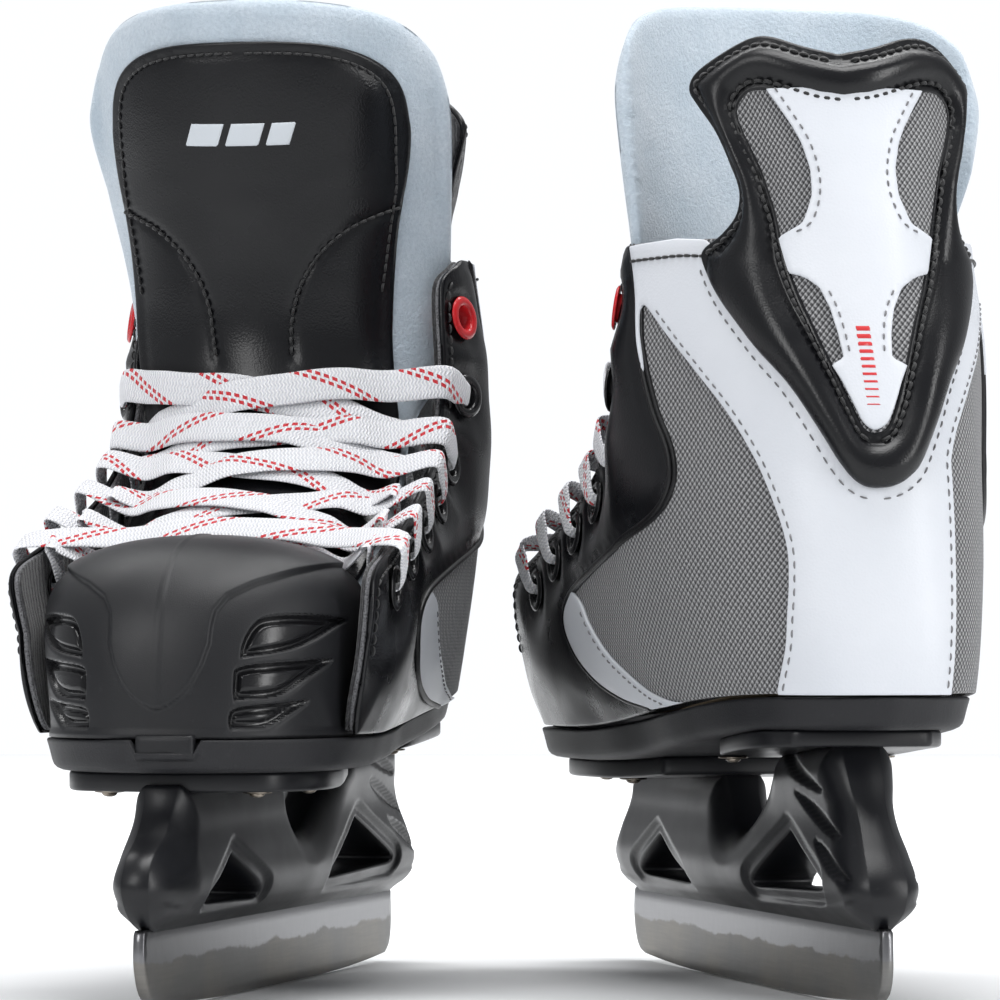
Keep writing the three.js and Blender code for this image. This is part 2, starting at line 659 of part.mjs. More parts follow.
function tongueParts(tongue) {
  const gap = 0.02;
  const spans = { lower: [0, HINGE_STEP - gap], upper: [HINGE_STEP + gap, TONGUE_STEPS] };
  const faceSpans = { lower: spans.lower, upper: [spans.upper[0], TONGUE_STEPS - 0.45] };
  return Object.keys(spans).flatMap((part) => [
    piece(`tongue_face_${part}`, tonguePart(tongue, faceSpans[part], faceHalfWidth, 0, FACE, 6), 'leather'),
    piece(`tongue_felt_${part}`, tonguePart(tongue, spans[part], feltHalfWidth, -FACE - LAYER_GAP, FELT, 6), 'felt'),
  ]);
}

// ---------------------------------------------------------------------------------------------- lacing

// Step of the tongue's middle line nearest to a point
function nearestStep(tongue, point) {
  let best = 0;
  for (let s = 0; s <= TONGUE_STEPS; s += 0.02) {
    const here = tongue(s, 0);
    const there = tongue(best, 0);
    const flat = (p) => Math.hypot(p.x - point.x, p.z - point.z);
    if (flat(here) < flat(there)) best = s;
  }
  return best;
}

// Ribbon with a flat section along a list of { point, up, width }
function ribbon(stops) {
  const curve = new THREE.CatmullRomCurve3(stops.map((stop) => stop.point), false, 'centripetal');
  const last = stops.length - 1;
  const perStop = 1;
  const rings = [];
  for (let k = 0; k <= last * perStop; k += 1) {
    const t = k / (last * perStop);
    const i = Math.min(Math.floor(t * last), last - 1);
    const mix = t * last - i;
    const tangent = curve.getTangent(t);
    const across = stops[i].up.clone().lerp(stops[i + 1].up, mix);
    across.addScaledVector(tangent, -across.dot(tangent)).normalize();
    const out = new THREE.Vector3().crossVectors(tangent, across);
    const half = lerp(stops[i].width, stops[i + 1].width, mix) / 2;
    const centre = curve.getPoint(t);
    rings.push([[1, 1], [-1, 1], [-1, -1], [1, -1]].map(([w, h]) => centre.clone()
      .addScaledVector(across, w * half).addScaledVector(out, h * LACE_THICKNESS / 2)));
  }
  return loft(rings);
}

function laceGeometry(boot, tongue) {
  const frames = { 1: [], '-1': [] };
  for (const hand of [1, -1]) EYELETS.forEach((_, i) => frames[hand].push(eyeletFrame(boot, hand, i)));
  const place = (f, alongEdge, out, width = LACE_WIDTH) => ({
    point: f.centre.clone().addScaledVector(f.edge, alongEdge).addScaledVector(f.out, out),
    up: f.up,
    width,
  });
  const inside = -SHELL - LAYER_GAP - 2.4;
  const over = (f) => [place(f, 14, 4), place(f, 9, 4.4), place(f, 4.6, 4, 6.6)];
  const through = (f) => [place(f, 0.6, 2, 5), place(f, 0, -2.2, 5), place(f, 0.4, inside, 5)];
  const under = (f) => [place(f, 4.5, inside - 0.5, 7), place(f, 10, inside - 0.3, 7.5), place(f, 14, inside + 0.3, 8)];
  // Strip from the inside of one flap's eyelet, across the tongue, to the outside of the other's next one
  const crossing = (hand, from) => {
    const steps = [from, from - 1].map((i) => nearestStep(tongue, frames[hand][i].centre.clone()
      .addScaledVector(frames[hand][i].edge, 9)));
    const raised = hand * (from % 2 ? 1 : -1) > 0;
    const ys = [34, 26, 18, 9, 0, -9, -18, -28, -37];
    return ys.map((y, k) => {
      const mix = (k + 1) / (ys.length + 1);
      const high = raised ? k >= 3 : k >= 7;
      const s = lerp(steps[0], steps[1], mix);
      const up = tongue(s + 0.1, hand * y).sub(tongue(s - 0.1, hand * y)).normalize();
      return { point: tongue(s, hand * y, high ? 5.4 : 2.8), up, width: LACE_WIDTH };
    });
  };
  // From the bottom eyelet of one side up to its tucked end; the hand changes at every crossing
  const climb = (start) => {
    const stops = [];
    let hand = start;
    for (let i = EYELETS.length - 1; i > 1; i -= 1) {
      stops.push(...through(frames[hand][i]), ...under(frames[hand][i]), ...crossing(hand, i));
      hand = -hand;
      stops.push(...over(frames[hand][i - 1]));
    }
    const top = frames[hand][1];
    stops.push(...through(top), place(top, -3, inside - 2.4, 7), place(top, -9, inside - 4, 8));
    return stops;
  };
  const bottom = EYELETS.length - 1;
  const barX = [30, 15, 0, -15, -30];
  const barUp = new THREE.Vector3(-0.8, 0, 0.6);
  const bar = barX.map((y) => ({ point: new THREE.Vector3(55, y, 137.5 - y * y / 300), up: barUp, width: LACE_WIDTH }));
  const left = climb(1).reverse();
  return ribbon([...left, ...over(frames[1][bottom]).reverse(), ...bar, ...over(frames[-1][bottom]), ...climb(-1)]);
}

// ------------------------------------------------------------------------------------------- assembly

function skate(name) {
  const { x, y, heading, tongueShift, splay } = PLACES[name];
  const group = new THREE.Group();
  group.position.set(x, y, 0);
  group.rotation.z = THREE.MathUtils.degToRad(heading);
  const boot = makeBoot(splay);
  const tongue = makeTongue(tongueShift);

  const chassis = new THREE.Group();
  chassis.add(piece('blade_runner', runnerGeometry(), 'steel'));
  chassis.add(piece('blade_holder', holderGeometry(), 'holder'));
  RIVETS.forEach(([rx, ry, heel], i) => {
    const rivet = piece(`rivet_${i + 1}`, rivetGeometry(), 'steel');
    rivet.position.set(rx, ry, (heel ? HEEL_PLATE_Z : FOREFOOT_PLATE_Z)[0] - GAP);
    chassis.add(rivet);
  });

  const upper = new THREE.Group();
  upper.rotation.z = BOOT_TWIST;
  upper.add(piece('outsole', outsoleGeometry(), 'rubber'));
  upper.add(piece('lasting_board', innerSole(8, GAP, 2), 'board'));
  upper.add(piece('footbed', innerSole(9, 2 + 2 * GAP, 3.5), 'lining'));
  upper.add(piece('toe_cap', toeCapGeometry(), 'toe'));
  for (const [side, hand] of [['left', 1], ['right', -1]]) {
    const top = eyeletFrame(boot, hand, 0);
    upper.add(piece(`${side}_side_quarter`, quarterGeometry(boot, hand), 'mesh'));
    upper.add(piece(`${side}_side_facing`, facingGeometry(boot, hand), 'leather'));
    upper.add(piece(`${side}_side_eyelet_row`, eyeletRowGeometry(boot, hand), 'eyelet'));
    upper.add(piece(`${side}_side_top_eyelet`, onEyelet(eyeletGeometry(SHELL + 1), top), 'red'));
  }
  upper.add(piece('heel_counter', heelCounterGeometry(boot), 'white'));
  upper.add(piece('collar_lining', collarLiningGeometry(boot), 'lining'));
  upper.add(piece('guard_root', guardRootGeometry(boot), 'leather'));
  upper.add(piece('tendon_guard', guardGeometry(boot), 'leather'));
  upper.add(piece('guard_inlay', guardInlayGeometry(boot), 'white'));
  upper.add(...tongueParts(tongue));
  upper.add(piece('lace', laceGeometry(boot, tongue), 'lace'));
  group.add(chassis, upper);
  group.traverse((item) => {
    if (item.isMesh) item.name = `${name}_${item.name}`;
  });
  return group;
}

const pair = new THREE.Group();
pair.add(skate('left'), skate('right'));
export default pair;
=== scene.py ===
import math

import bmesh
import bpy
import numpy as np
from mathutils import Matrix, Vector
from mathutils.geometry import delaunay_2d_cdt


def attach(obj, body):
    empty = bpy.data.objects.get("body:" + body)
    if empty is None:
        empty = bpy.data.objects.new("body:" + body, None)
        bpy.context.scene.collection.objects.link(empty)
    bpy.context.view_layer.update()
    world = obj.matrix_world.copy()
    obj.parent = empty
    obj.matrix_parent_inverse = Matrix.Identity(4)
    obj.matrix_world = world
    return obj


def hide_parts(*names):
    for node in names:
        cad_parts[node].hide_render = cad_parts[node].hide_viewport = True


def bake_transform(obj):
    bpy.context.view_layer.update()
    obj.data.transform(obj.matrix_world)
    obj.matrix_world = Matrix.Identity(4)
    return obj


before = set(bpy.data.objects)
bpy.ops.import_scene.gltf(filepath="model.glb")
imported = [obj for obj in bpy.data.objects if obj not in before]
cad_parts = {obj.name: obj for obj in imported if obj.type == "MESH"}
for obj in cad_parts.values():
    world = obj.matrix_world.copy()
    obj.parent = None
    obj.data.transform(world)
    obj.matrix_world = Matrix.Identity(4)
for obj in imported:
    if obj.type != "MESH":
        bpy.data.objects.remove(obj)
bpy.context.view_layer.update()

# ------------------------------------------------------------------------------------ driving dimensions

MM = 0.001
BLADE_LENGTH = 270
STEEL_THICKNESS = 3.5
FLAT_HALF_LENGTH = 40
ROCKER_RADIUS = 1500
FOREFOOT_PLATE_Z = (61.7, 66.2)
HEEL_PLATE_Z = (73.3, 77.0)
SOLE_TOP = 76               # top of the outsole at the forefoot
SOLE_THICKNESS = 9.5
HEEL_LIFT = 12              # how much higher the sole is at the heel
HINGE_Z = 213               # height where the guard and the tongue bend
LACE_WIDTH = 10.4
LACE_THICKNESS = 1.1
HOLE_RADIUS = 3.6           # hole of an eyelet
FLANGE_RADIUS = 6.75
BOOT_TWIST = math.radians(1.7)

# Where the two skates stand: middle of the blade, direction of the toe and sideways lean of the tongue
PLACES = {
    "left": {"x": -71.75, "y": -3.9, "heading": -103.7, "shift": -7.8},
    "right": {"x": 74.05, "y": 3.8, "heading": 103.6, "shift": -5},
}

# Plan outlines of the boot's left half at rising heights: ten stations from the middle of the heel round to
# the toe end of the lacing flap
BOOT_LEVELS = np.array([76, 100, 125, 155, 190, 222, 250, 280], float)
BOOT_PLAN = np.array([
    [(-126, 0), (-122, 17), (-108, 30), (-82, 37.5), (-48, 40.5), (-33, 40.5), (-18, 40.5), (15, 42),
     (50, 45), (85, 44)],
    [(-128, 0), (-124, 19), (-109, 32.5), (-80, 42), (-48, 47.5), (-33, 48.5), (-18, 49), (15, 49.5),
     (50, 51), (85, 50)],
    [(-127, 0), (-122, 20), (-106, 34), (-77, 45.5), (-48, 52.5), (-33, 53.5), (-18, 53.5), (15, 52.5),
     (50, 52), (85, 52)],
    [(-124, 0), (-118, 20), (-101, 35), (-75, 46), (-48, 55.5), (-33, 55.5), (-18, 51), (15, 49), (50, 49),
     (85, 49)],
    [(-117.5, 0), (-111, 19), (-95, 34), (-73, 45.5), (-48, 55), (-33, 54.5), (-18, 48), (15, 47), (50, 47),
     (85, 47)],
    [(-110, 0), (-104, 17), (-90, 30), (-70, 42.5), (-48, 50.5), (-33, 50.5), (-18, 46), (15, 45), (50, 45),
     (85, 45)],
    [(-102, 0), (-98, 18), (-87, 32), (-66, 47), (-48, 52), (-33, 52), (-18, 50), (15, 48), (50, 48),
     (85, 48)],
    [(-92.5, 0), (-89, 18), (-79, 32), (-60, 47), (-44, 52), (-30, 52), (-15, 50), (15, 48), (50, 48),
     (85, 48)],
], float)
STATIONS = BOOT_PLAN.shape[1]

# Rear edge of the lacing flap, where its piping runs, and its free edge, from the sole up, as (x, z)
PIPING = [(-38, 83.4), (-30, 84.2), (-13, 86.2), (5.4, 90.8), (18.6, 97.5), (26.3, 106), (25.6, 112.5),
          (16, 118.6), (-10, 125.4), (-38, 131.9), (-61, 139.5), (-70, 148), (-70, 158), (-63, 171),
          (-56, 189), (-52, 204), (-43, 220.2)]
FLAP_EDGE = [(76, 76.7), (81, 84.6), (84, 95.5), (86, 112.5), (83, 123.4), (62, 130.4), (39, 138.3),
             (19, 146.3), (0, 156.1), (-13, 167), (-20, 183), (-22, 204), (-25, 214.4), (-36, 220.1)]
# Eyelets from the top (unlaced) one down to the toe, as (x, z)
EYELETS = [(-31.5, 202), (-29.5, 178), (-19.5, 157), (-3.5, 145), (17.5, 136), (38.5, 128), (58.5, 119)]
# Middle line of the tongue's front face, from the toe up, as (x, z)
TONGUE_LINE = np.array([(57, 128), (38, 138.5), (18, 151.5), (3, 168), (-4, 190), (-3, 213), (2, 237),
                        (8, 262), (14, 290)], float)

# ------------------------------------------------------------------------------------ curves and outlines


def smoothstep(x, low, high):
    t = np.clip((np.asarray(x, float) - low) / (high - low), 0, 1)
    return t * t * (3 - 2 * t)


def spline_weights(index, count, mirror=None):
    """Catmull-Rom weights of count values at fractional indices. The far end is extended in a straight line,
    and so is the near one, unless mirror gives the sign of the values' reflection there."""
    index = np.atleast_1d(np.asarray(index, float))
    i = np.clip(np.floor(index).astype(int), 0, count - 2)
    t = index - i
    weights = np.stack([-t + 2 * t**2 - t**3, 2 - 5 * t**2 + 3 * t**3, t + 4 * t**2 - 3 * t**3,
                        t**3 - t**2], 1) / 2
    out = np.zeros((len(index), count + 2))
    for k in range(4):
        out[np.arange(len(index)), i + k] += weights[:, k]
    if mirror is None:
        out[:, 1] += 2 * out[:, 0]
        out[:, 2] -= out[:, 0]
    else:
        out[:, 2] += mirror * out[:, 0]
    out[:, -2] += 2 * out[:, -1]
    out[:, -3] -= out[:, -1]
    return out[:, 1:-1]


def curve(points, per_span=8):
    """Smooth open curve through points."""
    points = np.asarray(points, float)
    index = np.linspace(0, len(points) - 1, (len(points) - 1) * per_span + 1)
    return spline_weights(index, len(points)) @ points


def joined(*curves):
    """Closed outline of curves laid end to end; a corner stays where two of them meet."""
    parts = []
    for part in curves:
        part = np.asarray(part, float)
        if parts and np.allclose(parts[-1][-1], part[0], atol=1e-6):
            part = part[1:]
        parts.append(part)
    outline = np.vstack(parts)
    return outline[:-1] if np.allclose(outline[0], outline[-1], atol=1e-6) else outline


def mirrored(half):
    """Closed outline of a half and its mirror image across 0."""
    return joined(half, half[::-1] * (-1, 1))


def runs_along(line):
    """Distance along a line up to each of its points."""
    return np.r_[0, np.cumsum(np.linalg.norm(np.diff(line, axis=0), axis=1))]


def sampled(at, run, values):
    """Rows of values at some places along a run."""
    return np.stack([np.interp(at, run, values[:, k]) for k in range(values.shape[1])], 1)


def unit(vectors):
    """Vectors of length 1, along the last axis."""
    return vectors / (np.linalg.norm(vectors, axis=-1, keepdims=True) + 1e-12)


def dome(d, radius):
    """Quarter-round rise from 0 at an edge to 1 at a radius from it."""
    return np.sqrt(1 - (1 - np.clip(d / radius, 0, 1)) ** 2)


def circle(sides):
    """Unit circle as (cosine, sine)."""
    angles = np.linspace(0, 2 * math.pi, sides, endpoint=False)
    return np.stack([np.cos(angles), np.sin(angles)], 1)


def resample(points, step, closed=False):
    """Points at an even spacing along a line."""
    points = np.asarray(points, float)
    if closed:
        points = np.vstack([points, points[:1]])
    run = runs_along(points)
    out = sampled(np.linspace(0, run[-1], max(int(round(run[-1] / step)), 4) + 1), run, points)
    return out[:-1] if closed else out


def polygon_area(loop):
    after = np.roll(loop, -1, 0)
    return 0.5 * np.sum(loop[:, 0] * after[:, 1] - loop[:, 1] * after[:, 0])


def anticlockwise(loop):
    return loop if polygon_area(loop) > 0 else loop[::-1]


def moved_in(loop, distance):
    """Loop moved to its left by a distance, which is inwards on an anticlockwise one."""
    along = unit(np.roll(loop, -1, 0) - np.roll(loop, 1, 0))
    return loop + distance * np.stack([-along[:, 1], along[:, 0]], 1)


def beside(line, distance):
    """Open line moved to its left by a distance."""
    along = unit(np.gradient(line, axis=0))
    return line + distance * np.stack([-along[:, 1], along[:, 0]], 1)


def inside(points, loop):
    after = np.roll(loop, -1, 0)
    rise = after[:, 1] - loop[:, 1]
    rise = np.where(np.abs(rise) < 1e-12, 1e-12, rise)
    y = points[:, 1:2]
    crosses = (loop[:, 1] > y) != (after[:, 1] > y)
    at = loop[:, 0] + (y - loop[:, 1]) * (after[:, 0] - loop[:, 0]) / rise
    return (crosses & (points[:, :1] < at)).sum(1) % 2 == 1


def edge_distance(points, loops):
    """Distance from each point to the nearest of some closed loops."""
    best = np.full(len(points), np.inf)
    for loop in loops:
        run = np.roll(loop, -1, 0) - loop
        square = np.maximum((run**2).sum(1), 1e-12)
        for start in range(0, len(points), 2000):
            away = points[start:start + 2000, None] - loop
            t = np.clip((away * run).sum(2) / square, 0, 1)
            gap = np.linalg.norm(away - t[..., None] * run, axis=2).min(1)
            best[start:start + 2000] = np.minimum(best[start:start + 2000], gap)
    return best


# -------------------------------------------------------------------------------------- the boot's form


def sole_top(x):
    return SOLE_TOP + HEEL_LIFT * smoothstep(50 - np.asarray(x, float), 0, 170)


def sole_under(x):
    return sole_top(x) - SOLE_THICKNESS


def boot_plan(a, z):
    """Plan point of the boot's outside at station a (minus on the right side) and height z."""
    a, z = np.broadcast_arrays(np.asarray(a, float), np.asarray(z, float))
    i = np.clip(np.searchsorted(BOOT_LEVELS, z, side="left") - 1, 0, len(BOOT_LEVELS) - 2)
    row = i + (z - BOOT_LEVELS[i]) / (BOOT_LEVELS[i + 1] - BOOT_LEVELS[i])
    levels = spline_weights(row, len(BOOT_LEVELS))
    side = np.abs(a)
    x = np.einsum("nl,ns,ls->n", levels, spline_weights(side, STATIONS, mirror=1), BOOT_PLAN[:, :, 0])
    y = np.einsum("nl,ns,ls->n", levels, spline_weights(side, STATIONS, mirror=-1), BOOT_PLAN[:, :, 1])
    return x, y * np.where(a < 0, -1, 1)


def station_where(reaches, z, low, high):
    """Station at which reaches(x, y) first turns false at height z, by halving."""
    low, high = np.full(len(z), float(low)), np.full(len(z), float(high))
    for _ in range(26):
        middle = (low + high) / 2
        before = reaches(*boot_plan(middle, z))
        low, high = np.where(before, middle, low), np.where(before, high, middle)
    return low


# The girth is how far round from the middle of the heel a station is, in millimetres; panels of the upper are
# laid out flat as (girth, height)
_stations = np.linspace(0, 9.8, 600)
_ring = np.stack(boot_plan(_stations, np.full(600, 155.0)), 1)
_girths = runs_along(_ring)


def side_points(points, hand):
    """Flat (girth, height) of points given as (x, z) on one side."""
    points = np.asarray(points, float)
    a = station_where(lambda x, y: x < points[:, 0], points[:, 1], 1, 9.5)
    return np.stack([hand * np.interp(a, _stations, _girths), points[:, 1]], 1)


def back_points(points):
    """Flat (girth, height) of points given as (y, z) on the boot's back."""
    points = np.asarray(points, float)
    a = station_where(lambda x, y: y < np.abs(points[:, 0]), points[:, 1], 0, 4.2)
    return np.stack([np.sign(points[:, 0]) * np.interp(a, _stations, _girths), points[:, 1]], 1)


class Skate:
    """One skate of the pair: where it stands, and the surfaces that its soft pieces lie on."""

    def __init__(self, name, x, y, heading, shift):
        self.name, self.place, self.heading = name, np.array([x, y, 0.0]), math.radians(heading)
        self.shift = shift
        self.boot, self.top, self.guard = f"{name}_boot", f"{name}_tongue_top", f"{name}_tendon_guard"

    def world(self, points, twist=BOOT_TWIST):
        turn = self.heading + twist
        c, s = math.cos(turn), math.sin(turn)
        points = np.asarray(points, float)
        turned = points @ np.array([[c, s, 0], [-s, c, 0], [0, 0, 1]])
        return (turned + self.place) * MM

    def raw(self, a, z):
        x, y = boot_plan(a, z)
        spread = np.where(a < 0, smoothstep(x, 25, 85) * (3.3 + 3.2 * np.minimum(np.abs(z - 106) / 26, 1)), 0)
        return np.stack([x, y - spread, z], 1)

    def on_boot(self, girth, z, offset=0):
        """Points at a flat (girth, height) of the upper, moved out by offset."""
        girth, z = np.broadcast_arrays(np.asarray(girth, float), np.asarray(z, float))
        a = np.sign(girth) * np.interp(np.abs(girth), _girths, _stations)
        da = self.raw(a + 0.02, z) - self.raw(a - 0.02, z)
        dz = self.raw(a, z + 0.5) - self.raw(a, z - 0.5)
        return self.raw(a, z) + unit(np.cross(dz, da)) * np.broadcast_to(offset, a.shape)[:, None]

    def on_tongue(self, y, run, offset=0):
        """Points at y across and a distance run up along the tongue's middle line, moved out by offset."""
        y, run = np.broadcast_arrays(np.asarray(y, float), np.asarray(run, float))
        s = np.interp(run, _tongue_runs, _tongue_steps)
        middle = spline_weights(s, len(TONGUE_LINE)) @ TONGUE_LINE
        ahead = spline_weights(s + 0.05, len(TONGUE_LINE)) @ TONGUE_LINE
        back = spline_weights(s - 0.05, len(TONGUE_LINE)) @ TONGUE_LINE
        rise = unit(ahead - back)
        out = np.stack([rise[:, 1], -rise[:, 0]], 1)
        curl = 13 + 8 * smoothstep(s, 1.5, 4)
        drop = curl * np.minimum(np.abs(y) / 46, 1.15) ** 2.4
        xz = middle + out * (np.broadcast_to(offset, y.shape) - drop)[:, None]
        return np.stack([xz[:, 0], y + self.shift * smoothstep(s, 2.4, 4.4), xz[:, 1]], 1)


_tongue_steps = np.linspace(-0.2, 8.2, 500)
_tongue_middle = spline_weights(_tongue_steps, len(TONGUE_LINE)) @ TONGUE_LINE
_tongue_runs = runs_along(_tongue_middle)


def tongue_run(z):
    """Distance up the tongue at which its middle line is at height z."""
    return np.interp(z, _tongue_middle[:, 1], _tongue_runs)


# --------------------------------------------------------------------------------------- mesh building


def as_object(name, points, faces, material, fabric=None):
    """Smooth-shaded object from points in metres; fabric gives its flat coordinates in millimetres."""
    mesh = bpy.data.meshes.new(name)
    mesh.from_pydata(np.asarray(points).tolist(), [], [list(f) for f in faces])
    mesh.shade_smooth()
    if fabric is not None:
        flat = np.zeros((len(points), 3), np.float32)
        flat[:, :fabric.shape[1]] = fabric
        mesh.attributes.new("fabric", "FLOAT_VECTOR", "POINT").data.foreach_set("vector", flat.ravel())
    mesh.materials.append(material)
    obj = bpy.data.objects.new(name, mesh)
    bpy.context.scene.collection.objects.link(obj)
    return obj


def facing_out(points, faces):
    """Faces turned so that the closed mesh's volume is positive."""
    points = np.asarray(points)
    fans = [(f[0], f[k], f[k + 1]) for f in faces for k in range(1, len(f) - 1)]
    a, b, c = (points[[t[k] for t in fans]] for k in range(3))
    volume = np.einsum("ij,ij->", a - points.mean(0), np.cross(b - points.mean(0), c - points.mean(0)))
    return [tuple(reversed(f)) for f in faces] if volume < 0 else faces


def flat_mesh(outline, holes, cell, rim):
    """Triangles over an outline, with loops of points just inside its edges."""
    loops = [resample(outline, cell * 0.8, closed=True)]
    loops += [resample(hole, cell * 0.5, closed=True) for hole in holes]
    loops = [loop if (polygon_area(loop) > 0) == (k == 0) else loop[::-1] for k, loop in enumerate(loops)]
    low, high = loops[0].min(0), loops[0].max(0)
    rows = np.arange(low[1] + cell / 3, high[1], cell * 0.866)
    grid = [(x, y) for j, y in enumerate(rows) for x in np.arange(low[0] + (j % 2) * cell / 2, high[0], cell)]
    grid = np.array(grid)
    grid = grid[inside(grid, loops[0])]
    for hole in loops[1:]:
        grid = grid[~inside(grid, hole)]
    grid = grid[edge_distance(grid, loops) > max(rim) + 0.5 * cell]
    rings = [moved_in(loop, d) for d in rim for loop in loops]
    points = np.vstack([*loops, *rings, grid])
    edges, start = [], 0
    for loop in loops:
        edges += [(start + k, start + (k + 1) % len(loop)) for k in range(len(loop))]
        start += len(loop)
    found = delaunay_2d_cdt([Vector(p) for p in points], edges, [], 1, 1e-5, False)
    flat = np.array([v[:] for v in found[0]])
    triangles = np.array([f for f in found[2] if len(f) == 3])
    middle = flat[triangles].mean(1)
    kept = inside(middle, loops[0])
    for hole in loops[1:]:
        kept &= ~inside(middle, hole)
    triangles = triangles[kept]
    used, triangles = np.unique(triangles, return_inverse=True)
    return flat[used], triangles.reshape(-1, 3), loops


def panel(outline, surface, top, bottom, cell=1.8, holes=(), rim=(0.2, 0.5)):
    """Closed body over a flat outline. surface(p, q, offset) places it, and top(d, flat) and bottom(d, flat)
    give the offsets of its two faces from the distance d to the edge. Returns points, faces and flat
    coordinates."""
    flat, triangles, loops = flat_mesh(outline, holes, cell, rim)
    d = edge_distance(flat, loops)
    high, low = top(d, flat), bottom(d, flat)
    n = len(flat)
    at_edge = d < 1e-4
    met = at_edge & (np.abs(high - low) < 1e-4)
    lower = np.where(met, np.arange(n), np.arange(n) + n)
    faces = [tuple(t) for t in triangles] + [tuple(lower[t[::-1]]) for t in triangles]
    sides = np.vstack([triangles[:, [0, 1]], triangles[:, [1, 2]], triangles[:, [2, 0]]])
    count = {}
    for a, b in sides:
        count[(min(a, b), max(a, b))] = count.get((min(a, b), max(a, b)), 0) + 1
    for a, b in sides:
        if count[(min(a, b), max(a, b))] == 1 and not (met[a] and met[b]):
            face = [b, a, lower[a], lower[b]]
            faces.append(tuple(dict.fromkeys(face)))
    points = np.vstack([surface(flat[:, 0], flat[:, 1], high), surface(flat[:, 0], flat[:, 1], low)])
    used = np.unique(np.concatenate([np.array(f) for f in faces]))
    slot = np.full(len(points), -1)
    slot[used] = np.arange(len(used))
    faces = [tuple(int(slot[k]) for k in f) for f in faces]
    points, fabric = points[used], np.vstack([flat, flat])[used]
    return points, facing_out(points, faces), fabric


def rounded(low, thickness, radius=None):
    """Top and bottom offsets of a sheet whose rim is rounded."""
    radius = radius or thickness / 2
    middle = low + thickness / 2

    def share(d):
        t = np.clip(d / radius, 0, 1)
        return np.sqrt(np.maximum(1 - (1 - t) ** 2, 0))

    return (lambda d, flat: middle + thickness / 2 * share(d)), (lambda d,
                                                                 flat: middle - thickness / 2 * share(d))


def grid_faces(rows, columns, around=False, start=0):
    """Quads between rows of points."""
    faces = []
    for j in range(rows - 1):
        for i in range(columns if around else columns - 1):
            a, b = start + j * columns + i, start + j * columns + (i + 1) % columns
            faces.append((a, b, b + columns, a + columns))
    return faces


def lofted(rings):
    """Closed body through rings of points with a fan at each end."""
    rings = np.asarray(rings, float)
    count, n = rings.shape[:2]
    points = np.vstack([rings.reshape(-1, 3), rings[0].mean(0), rings[-1].mean(0)])
    faces = grid_faces(count, n, around=True)
    faces += [(count * n, (k + 1) % n, k) for k in range(n)]
    last = (count - 1) * n
    faces += [(count * n + 1, last + k, last + (k + 1) % n) for k in range(n)]
    return points, facing_out(points, faces)


def frames_along(line, out):
    """Outward normals and side vectors along a line of points."""
    tangent = unit(np.gradient(line, axis=0))
    out = unit(out - tangent * (out * tangent).sum(1)[:, None])
    return out, np.cross(tangent, out)


def rings_about(centres, up, side, radii, sides):
    """Round rings of points about a row of centres."""
    ring = circle(sides)[None, :, :1] * up[:, None] + circle(sides)[None, :, 1:] * side[:, None]
    return centres[:, None] + radii[:, None, None] * ring


def tube(line, out, radius, sides=10):
    """Round tube along a line, closed with rounded ends."""
    out, across = frames_along(line, out)
    run = runs_along(line)
    ends = np.minimum(run, run[-1] - run)
    radii = radius * np.sqrt(np.clip(1 - (1 - np.clip(ends / radius, 0.02, 1)) ** 2, 0.03, 1))
    points, faces = lofted(rings_about(line, out, across, radii, sides))
    turns = np.tile(np.linspace(0, 2 * math.pi * radius, sides, endpoint=False), len(line))
    fabric = np.vstack([np.stack([np.repeat(run, sides), turns], 1), [[0, 0], [run[-1], 0]]])
    return points, faces, fabric


def stitch_run(line, out, pitch, length, radius, rise):
    """Threads that come out of the leather and go back in, one after another along a line."""
    run = runs_along(line)
    shape_t = np.array([0, 0.12, 0.32, 0.5, 0.68, 0.88, 1.0])
    height = np.array([-1.0, 0.1, 0.85, 1.0, 0.85, 0.1, -1.0]) * rise
    size = np.array([0.55, 0.85, 1.0, 1.0, 1.0, 0.85, 0.55]) * radius
    sides, count = 6, len(shape_t)
    normal, across = frames_along(line, out)
    points, faces = [], []
    for start in np.arange(pitch / 2, run[-1] - length, pitch):
        at = start + shape_t * length
        centre, up, side = (sampled(at, run, values) for values in (line, normal, across))
        base = len(points) * count * sides
        points.append(rings_about(centre + up * height[:, None], up, side, size, sides).reshape(-1, 3))
        faces += grid_faces(count, sides, around=True, start=base)
        faces.append(tuple(base + k for k in reversed(range(sides))))
        faces.append(tuple(base + (count - 1) * sides + k for k in range(sides)))
    return np.vstack(points), faces


def merged(parts):
    """One mesh of several (points, faces) or (points, faces, fabric)."""
    points, faces, fabric, start = [], [], [], 0
    for part in parts:
        points.append(part[0])
        faces += [tuple(k + start for k in f) for f in part[1]]
        fabric.append(part[2] if len(part) > 2 else np.zeros((len(part[0]), 2)))
        start += len(part[0])
    return np.vstack(points), faces, np.vstack(fabric)


def lathe(profile, sides=32):
    """Closed body of revolution about z of a closed (radius, z) profile off the axis."""
    profile = np.asarray(profile, float)
    turn = circle(sides)
    rings = np.stack([np.outer(turn[:, 0], profile[:, 0]), np.outer(turn[:, 1], profile[:, 0]),
                      np.tile(profile[:, 1], (sides, 1))], 2)
    n = len(profile)
    faces = [(j * n + i, j * n + (i + 1) % n, (j + 1) % sides * n + (i + 1) % n, (j + 1) % sides * n + i)
             for j in range(sides) for i in range(n)]
    points = rings.reshape(-1, 3)
    return points, facing_out(points, faces)


def turned_to(points, centre, axis):
    """Points whose own z is turned to an axis and moved to a centre."""
    turn = Vector((0, 0, 1)).rotation_difference(Vector(axis)).to_matrix()
    return points @ np.array(turn).T + centre


